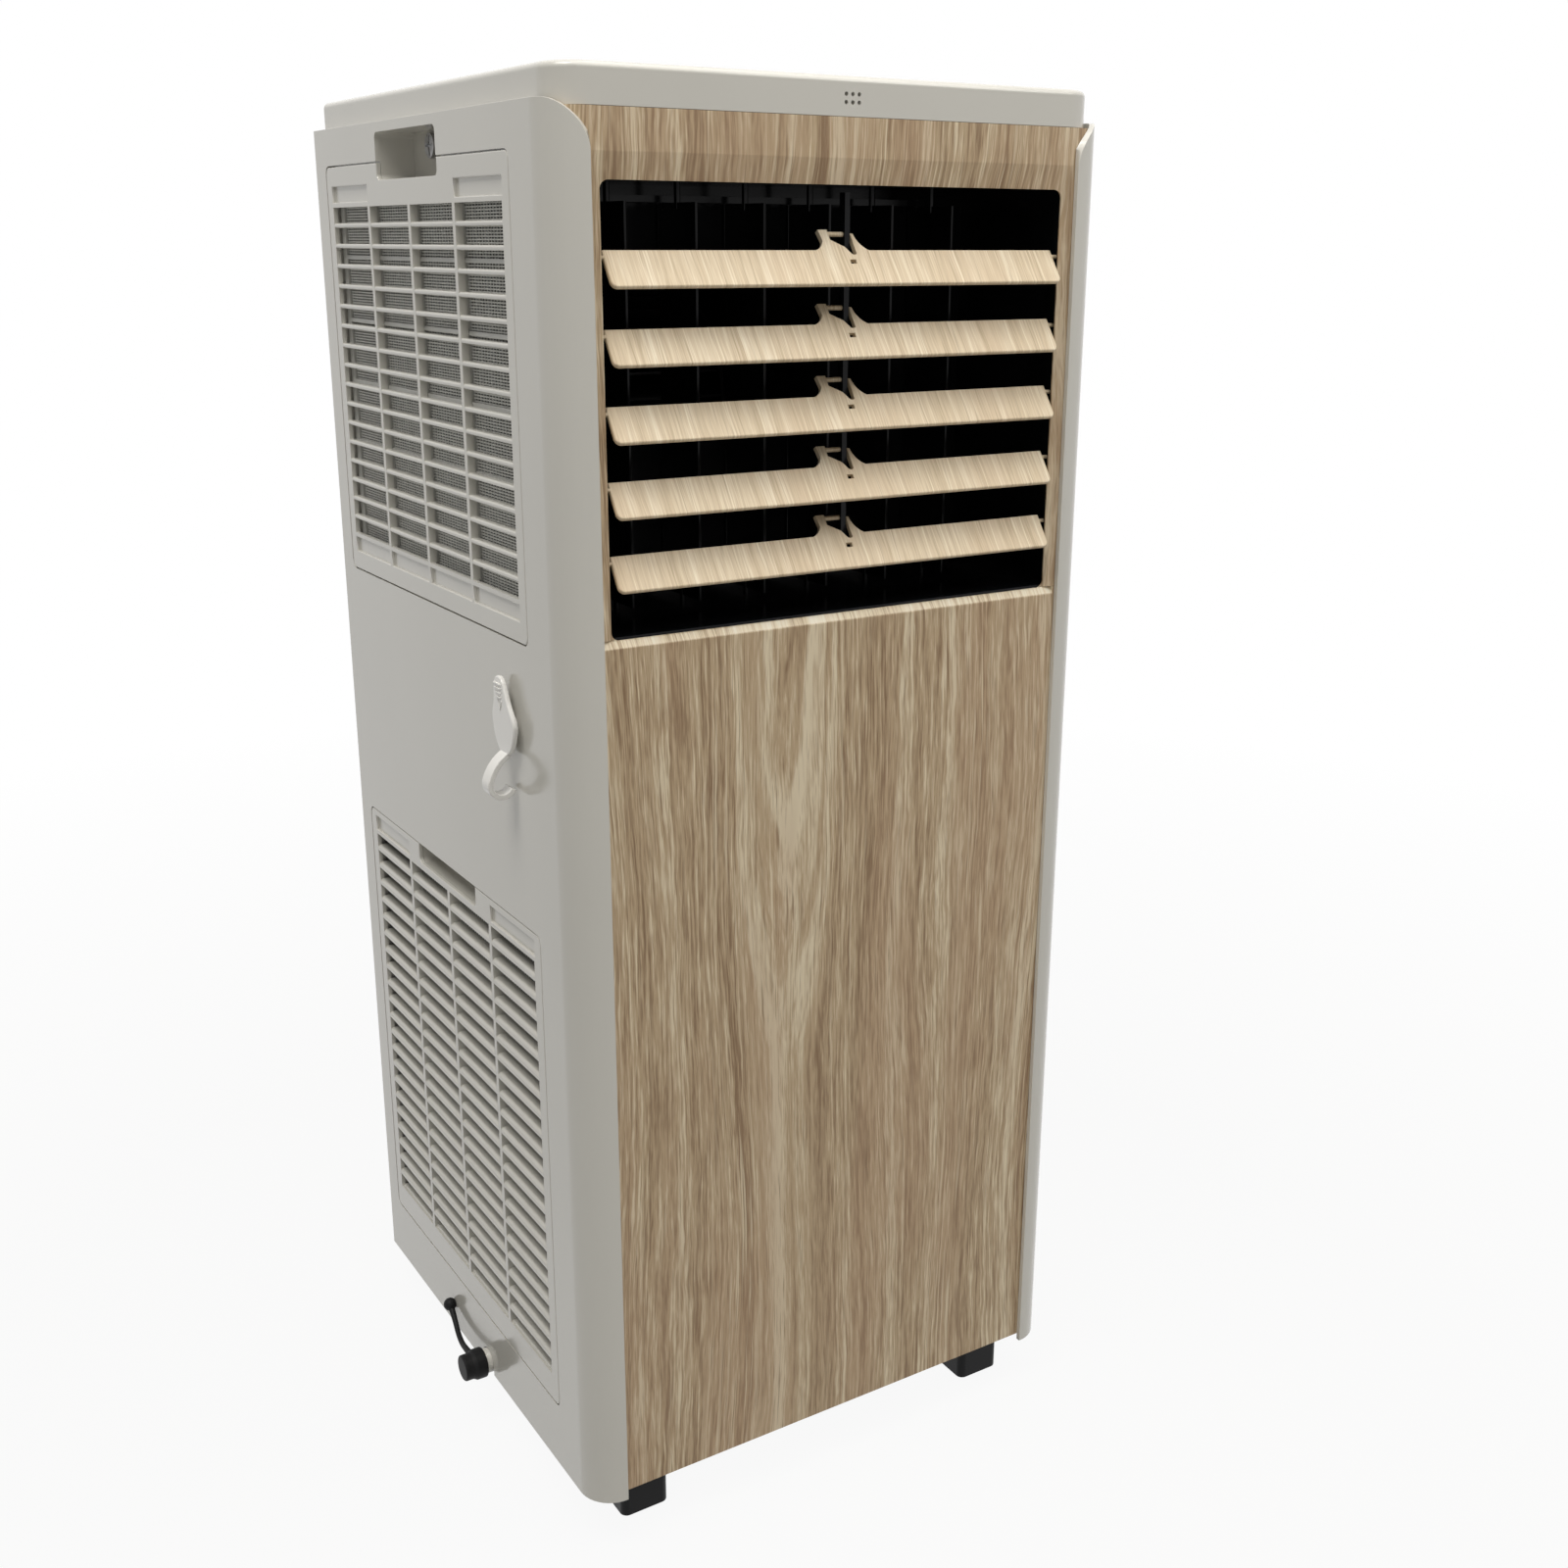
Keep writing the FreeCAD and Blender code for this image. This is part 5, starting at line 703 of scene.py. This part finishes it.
def softCopy(node, facts):
    # a solid's copy with its sharp edges rounded
    bm = mergedCopy(node, flatSill if node == "front_panel" else None)
    low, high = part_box(node)

    def onBlank(edge):
        # outer edges of the blank fields at the head and foot of a cover
        ends = [v.co for v in edge.verts]
        near = [min(high.z - end.z, end.z - low.z) < facts["band"] * mm for end in ends]
        return all(near) and all(abs(end.x - low.x) < 0.1 * mm for end in ends)

    if "crease" in facts:
        least, most = softAngles["creaseLeast"], softAngles["creaseMost"]
        roundEdges(bm, facts["crease"] * mm, 1, None, least, most)
    if "band" in facts:
        roundEdges(bm, facts["round"] * mm, 2, onBlank, clamp=False)
    elif facts["round"] > 0:
        roundEdges(bm, facts["round"] * mm, 2)
    if "crease" in facts:
        # both roundings leave slivers where they meet
        dropSlivers(bm, meshFacts["sliver"])
    addPiece(facts["name"], bm, bodyOf[node], slotOf[node], [node], softAngles["sharp"])


for node, facts in softFacts.items():
    softCopy(node, facts)
print("soft-edged copies made,", len(softFacts) + 2)


def smoothStep(low, high, value):
    t = min(max((value - low) / (high - low), 0.0), 1.0)
    return t * t * (3 - 2 * t)


# hose hook: a leaf with a ribbed tab, and a strip that curls out under it
hookFacts = {
    "leafHeight": 38.0 * mm, "leafHalf": 12.6 * mm, "leafSides": 64, "thick": 2.6 * mm,
    "stand": 5.2 * mm, "round": 0.9 * mm, "tabNarrow": 4.2 * mm, "narrowAt": (0.42, 0.74),
    "tabSpread": 1.5 * mm, "spreadAt": (0.85, 1.0), "lean": 4.0 * mm, "leanAt": (0.35, 1.0),
    "padRadius": 6.0 * mm, "padTaper": 0.9, "padSides": 32, "padSink": 0.4 * mm,
    "padLevel": 0.36, "sharp": 40.0,
}
ribFacts = {
    "count": 4, "first": 0.74, "step": 0.055, "wide": 5.2 * mm, "grow": 0.9 * mm,
    "deep": 1.1 * mm, "tall": 0.8 * mm, "out": 0.25 * mm, "round": 0.25 * mm,
}
creaseFacts = {
    "level": 0.64, "shift": 2.0 * mm, "spread": 1.0 * mm, "turn": 22, "out": 0.1 * mm,
    "size": (0.6 * mm, 0.5 * mm, 5.0 * mm),
}
# bends: radius and sweep in degrees, one after the other
stripFacts = {
    "half": 4.0 * mm, "thick": 2.6 * mm, "sink": 1.5 * mm, "heading": 210.0,
    "bends": ((22.0 * mm, 42.0), (6.2 * mm, 170.0)), "step": 5, "round": 0.8 * mm,
}


def hoseHook(facts):
    low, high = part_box("hose_hook")
    middle = (low.y + high.y) / 2
    face = high.x - facts["stand"]
    neck = high.z - facts["leafHeight"]
    bm = bmesh.new()

    def lean(level):
        return facts["lean"] * smoothStep(*facts["leanAt"], level)

    def height(level):
        return neck + facts["leafHeight"] * level

    leaf = bmesh.ops.create_circle(bm, cap_ends=True, segments=facts["leafSides"], radius=1.0)
    for vert in leaf["verts"]:
        level = (vert.co.y + 1.0) / 2
        half = facts["leafHalf"] - facts["tabNarrow"] * smoothStep(*facts["narrowAt"], level)
        half += facts["tabSpread"] * smoothStep(*facts["spreadAt"], level)
        across = middle + vert.co.x * half + lean(level)
        vert.co = (face + facts["thick"], across, height(level))
    front = bmesh.ops.extrude_face_region(bm, geom=bm.faces[:])
    moved = [item for item in front["geom"] if isinstance(item, bmesh.types.BMVert)]
    bmesh.ops.translate(bm, verts=moved, vec=(-facts["thick"], 0.0, 0.0))
    bmesh.ops.recalc_face_normals(bm, faces=bm.faces[:])
    roundEdges(bm, facts["round"], 4)
    depth = facts["stand"] - facts["thick"] + facts["padSink"]
    pad = bmesh.ops.create_cone(
        bm, cap_ends=True, segments=facts["padSides"], radius1=facts["padRadius"],
        radius2=facts["padRadius"] * facts["padTaper"], depth=depth,
    )
    turn = Matrix.Rotation(math.radians(-90), 4, "Y")
    spot = Matrix.Translation((high.x - depth / 2, middle, height(facts["padLevel"])))
    bmesh.ops.transform(bm, matrix=spot @ turn, verts=pad["verts"])
    for index in range(ribFacts["count"]):
        level = ribFacts["first"] + index * ribFacts["step"]
        spot = (face - ribFacts["out"], middle + lean(level), height(level))
        wide = ribFacts["wide"] + ribFacts["grow"] * index
        rib = addBlock(bm, spot, (ribFacts["deep"], wide, ribFacts["tall"]))
        edges = list(dict.fromkeys(edge for vert in rib for edge in vert.link_edges))
        bevelEdges(bm, edges, ribFacts["round"], 2)
    for hand in (-1, 1):
        across = middle + creaseFacts["shift"] + hand * creaseFacts["spread"]
        spot = (face - creaseFacts["out"], across, height(creaseFacts["level"]))
        turn = Matrix.Rotation(math.radians(-creaseFacts["turn"] * hand), 4, "X")
        addBlock(bm, spot, creaseFacts["size"], turn)
    leafPiece = addPiece(
        "hookLeaf", bm, "cabinet", "white_plastic", ["hose_hook"], facts["sharp"]
    )
    leafPiece.data.materials[0] = litHookWhite
    return Vector((face + facts["thick"] / 2, middle, neck))


def hookStrip(facts, root):
    bm = bmesh.new()
    start = root + Vector((0.0, 0.0, facts["sink"]))
    heading = math.radians(facts["heading"])
    inward = Vector((-math.sin(heading), 0.0, math.cos(heading)))
    corners = []
    for out, along in ((-1, -1), (-1, 1), (1, 1), (1, -1)):
        shift = inward * out * facts["thick"] / 2 + Vector((0.0, along * facts["half"], 0.0))
        corners.append(bm.verts.new(start + shift))
    end = bm.faces.new(corners)
    geom = [end] + list(end.edges) + corners
    axis = (0.0, -1.0, 0.0)
    for radius, sweep in facts["bends"]:
        centre = start + inward * radius
        angle = math.radians(sweep)
        steps = int(sweep / facts["step"])
        spun = bmesh.ops.spin(bm, geom=geom, cent=centre, axis=axis, angle=angle, steps=steps)
        geom = spun["geom_last"]
        turn = Matrix.Rotation(angle, 3, axis)
        start = centre + turn @ (start - centre)
        inward = turn @ inward
    bmesh.ops.remove_doubles(bm, verts=bm.verts[:], dist=meshFacts["seam"])
    loose = [face for face in bm.faces if all(len(edge.link_faces) > 2 for edge in face.edges)]
    bmesh.ops.delete(bm, geom=loose, context="FACES_ONLY")
    bmesh.ops.recalc_face_normals(bm, faces=bm.faces[:])
    roundEdges(bm, facts["round"], 3)
    stripPiece = addPiece("hookStrip", bm, "cabinet", "white_plastic", (), hookFacts["sharp"])
    stripPiece.data.materials[0] = litHookWhite


hookStrip(stripFacts, hoseHook(hookFacts))


# drain strap: a rubber cord from its ball on the panel to the plug's head
strapFacts = {
    "radius": 1.6 * mm, "sides": 5, "steps": 14, "widths": (1.25, 1.0, 0.95, 1.1, 1.35),
    "ball": 3.8 * mm, "ballOut": 0.8, "leave": (0.0, 5.0 * mm, 4.0 * mm), "sag": 7.0 * mm,
    "bow": 1.0 * mm, "lead": (0.0, 6.0 * mm, -0.5 * mm), "headIn": 9.2 * mm,
    "headOver": 1.0 * mm, "stud": 2.2 * mm, "studLength": 6.0 * mm, "studOut": 0.5 * mm,
    "blendNear": 8.0 * mm, "blendFar": 4.0 * mm, "sharp": 50.0,
}


def strapTube(facts, route):
    curve = bpy.data.curves.new("strapRoute", "CURVE")
    curve.dimensions = "3D"
    curve.bevel_depth = facts["radius"]
    curve.bevel_resolution = facts["sides"]
    curve.use_fill_caps = True
    line = curve.splines.new("NURBS")
    line.points.add(len(route) - 1)
    for point, place, wide in zip(line.points, route, facts["widths"]):
        point.co = (*place, 1.0)
        point.radius = wide
    line.order_u = 3
    line.use_endpoint_u = True
    line.resolution_u = facts["steps"]
    guide = bpy.data.objects.new("strapRoute", curve)
    scene.collection.objects.link(guide)
    tube = bpy.data.meshes.new_from_object(guide)
    bpy.data.objects.remove(guide)
    bm = bmesh.new()
    bm.from_mesh(tube)
    bpy.data.meshes.remove(tube)
    return bm


def drainStrap(facts):
    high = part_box("drain_strap")[1]
    plugLow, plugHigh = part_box("drain_plug")
    wall, ball = leftLow.x, facts["ball"]
    anchor = Vector((wall - ball * facts["ballOut"], high.y - ball, high.z - ball))
    level = (plugLow.z + plugHigh.z) / 2
    end = Vector((plugLow.x + facts["headIn"], plugHigh.y - facts["headOver"], level))
    middle = (anchor + end) / 2 - Vector((facts["bow"], 0.0, facts["sag"]))
    leave, lead = anchor - Vector(facts["leave"]), end + Vector(facts["lead"])
    bm = strapTube(facts, [anchor, leave, middle, lead, end])
    knob = bmesh.ops.create_uvsphere(bm, u_segments=32, v_segments=20, radius=ball)
    bmesh.ops.translate(bm, verts=knob["verts"], vec=anchor)
    stud = bmesh.ops.create_cone(
        bm, cap_ends=True, segments=24, radius1=facts["stud"], radius2=facts["stud"],
        depth=facts["studLength"],
    )
    turn = Matrix.Rotation(math.radians(90), 4, "Y")
    place = Matrix.Translation((wall - facts["studOut"], anchor.y, anchor.z))
    bmesh.ops.transform(bm, matrix=place @ turn, verts=stud["verts"])
    bmesh.ops.remove_doubles(bm, verts=bm.verts[:], dist=meshFacts["seam"])
    bmesh.ops.recalc_face_normals(bm, faces=bm.faces[:])
    strap = addPiece("drainStrap", bm, None, "rubber", ["drain_strap"], facts["sharp"])
    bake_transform(strap)


drainStrap(strapFacts)


# filter net: two crossing sets of threads inside the filter frame
netFacts = {
    "rowPitch": 1.4 * mm, "columnPitch": 3.4 * mm, "rowThick": 0.70 * mm,
    "columnThick": 0.45 * mm, "columnBack": 0.15 * mm,
}


def threadPlaces(low, high, pitch, thick):
    count = int((high - low) / pitch)
    for index in range(count + 1):
        place = low + (high - low) * index / count
        yield min(max(place, low + thick / 2), high - thick / 2)


def filterNet(facts):
    low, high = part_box("filter_mesh")
    centre = (low + high) / 2
    bm = bmesh.new()
    thick = facts["rowThick"]
    for level in threadPlaces(low.z, high.z, facts["rowPitch"], thick):
        addBlock(bm, (centre.x, centre.y, level), (thick, high.y - low.y, thick))
    thick = facts["columnThick"]
    for place in threadPlaces(low.y, high.y, facts["columnPitch"], thick):
        spot = (centre.x + facts["columnBack"], place, centre.z)
        addBlock(bm, spot, (thick, thick, high.z - low.z))
    addPiece("filterNet", bm, bodyOf["filter_mesh"], "filter_net", ["filter_mesh"], 30.0)


filterNet(netFacts)


# ledge along the foot of the lower cover's openings, as deep as its bars
ledgeFacts = {
    "foot": 15.5 * mm, "margin": 8.0 * mm, "drop": 3.2 * mm, "face": 1.2 * mm, "round": 1.0 * mm,
}


def grilleLedge(facts):
    low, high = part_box("lower_grille")
    top = low.z + facts["foot"]
    bm = bmesh.new()
    first = Vector((low.x + facts["face"], low.y + facts["margin"], top - facts["drop"]))
    last = Vector((high.x, high.y - facts["margin"], top + facts["round"]))
    addBlock(bm, (first + last) / 2, last - first)
    roundEdges(bm, facts["round"], 3)
    addPiece("lowerGrilleLedge", bm, bodyOf["lower_grille"], "white_plastic", (), 30.0)


grilleLedge(ledgeFacts)


# controls: lit digits under the display and a pale mark on each button
def topMiddle(node):
    low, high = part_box(node)
    return Vector(((low.x + high.x) / 2, (low.y + high.y) / 2, high.z))


def flatRing(bm, centre, radius, wide, thick, sweep=2 * math.pi, start=0.0):
    corners = []
    for out, up in ((0, 0), (1, 0), (1, 1), (0, 1)):
        place = Vector((radius + (out - 0.5) * wide, 0.0, (up - 0.5) * thick))
        corners.append(bm.verts.new(Vector(centre) + Matrix.Rotation(start, 3, "Z") @ place))
    face = bm.faces.new(corners)
    whole = sweep > 2 * math.pi - 0.01
    bmesh.ops.spin(
        bm, geom=[face] + list(face.edges) + corners, cent=centre, axis=(0.0, 0.0, 1.0),
        angle=sweep, steps=36, use_merge=whole,
    )
    bmesh.ops.remove_doubles(bm, verts=bm.verts[:], dist=meshFacts["seam"])


digitFacts = {
    "shown": ("2", "4"), "tall": 0.56, "slim": 0.52, "bar": 0.11, "thick": 0.2 * mm,
    "space": 0.84, "low": (0.62, 0.80, 0.84), "high": (0.72, 0.88, 0.90), "gloss": (0.3, 0.4),
}
# bars that a numeral lights: top, upper left, upper right, middle, lower left, lower right, foot
numeralBars = {"2": (1, 0, 1, 1, 1, 0, 1), "4": (0, 1, 1, 1, 0, 1, 0)}


def displayDigits(facts):
    low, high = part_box("display_window")
    tall = (high.y - low.y) * facts["tall"]
    wide = tall * facts["slim"]
    bar = tall * facts["bar"]
    level = (wide - bar, bar, facts["thick"])
    post = (bar, tall / 2 - bar, facts["thick"])
    spots = [
        ((0.0, tall / 2), level),
        ((-wide / 2, tall / 4), post), ((wide / 2, tall / 4), post),
        ((0.0, 0.0), level),
        ((-wide / 2, -tall / 4), post), ((wide / 2, -tall / 4), post),
        ((0.0, -tall / 2), level),
    ]
    centre = topMiddle("display_window")
    bm = bmesh.new()
    for index, numeral in enumerate(facts["shown"]):
        middle = centre + Vector(((index - 0.5) * tall * facts["space"], 0.0, 0.0))
        for lit, (spot, size) in zip(numeralBars[numeral], spots):
            if lit:
                addBlock(bm, middle + Vector((*spot, 0.0)), size)
    digits = addPiece("displayDigits", bm, "cabinet", "display_dark", (), 30.0)
    glow = mouldedPlastic("digitGlow", facts["low"], facts["high"], facts["gloss"])
    digits.data.materials[0] = glow


# bars: middle and size of each, in shares of the mark's reach, with None for the line's width
markFacts = {
    "reach": 0.42, "line": 0.6 * mm, "thick": 0.16 * mm, "powerSweep": 290, "powerStart": 125,
    "bars": {
        1: [((0.0, 0.75), (None, 1.0), 0)],
        2: [((0.0, 0.0), (2.0, None), 0), ((0.0, 0.0), (None, 2.0), 0)],
        3: [((0.0, 0.0), (2.0, None), 0)],
        4: [((0.0, 0.0), (2.0, None), 60 * step) for step in range(3)],
        5: [((0.0, 0.3), (None, 0.7), 0), ((0.25, 0.0), (0.6, None), 0)],
    },
}


def buttonMark(number, facts):
    low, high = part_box(f"button_{number}")
    centre = topMiddle(f"button_{number}")
    reach = (high.x - low.x) / 2 * facts["reach"]
    line, thick = facts["line"], facts["thick"]
    bm = bmesh.new()
    if number == 1:
        sweep, start = math.radians(facts["powerSweep"]), math.radians(facts["powerStart"])
        flatRing(bm, centre, reach, line, thick, sweep, start)
    elif number == 5:
        flatRing(bm, centre, reach, line, thick)
    for (x, y), shares, degrees in facts["bars"][number]:
        wide, tall = (line if share is None else share * reach for share in shares)
        turn = Matrix.Rotation(math.radians(degrees), 4, "Z")
        addBlock(bm, centre + Vector((x * reach, y * reach, 0.0)), (wide, tall, thick), turn)
    bmesh.ops.recalc_face_normals(bm, faces=bm.faces[:])
    addPiece(f"buttonMark{number}", bm, bodyOf[f"button_{number}"], "white_plastic", (), 30.0)


displayDigits(digitFacts)
for number in range(1, 6):
    buttonMark(number, markFacts)
print("hook, strap, net, ledge and control marks made")
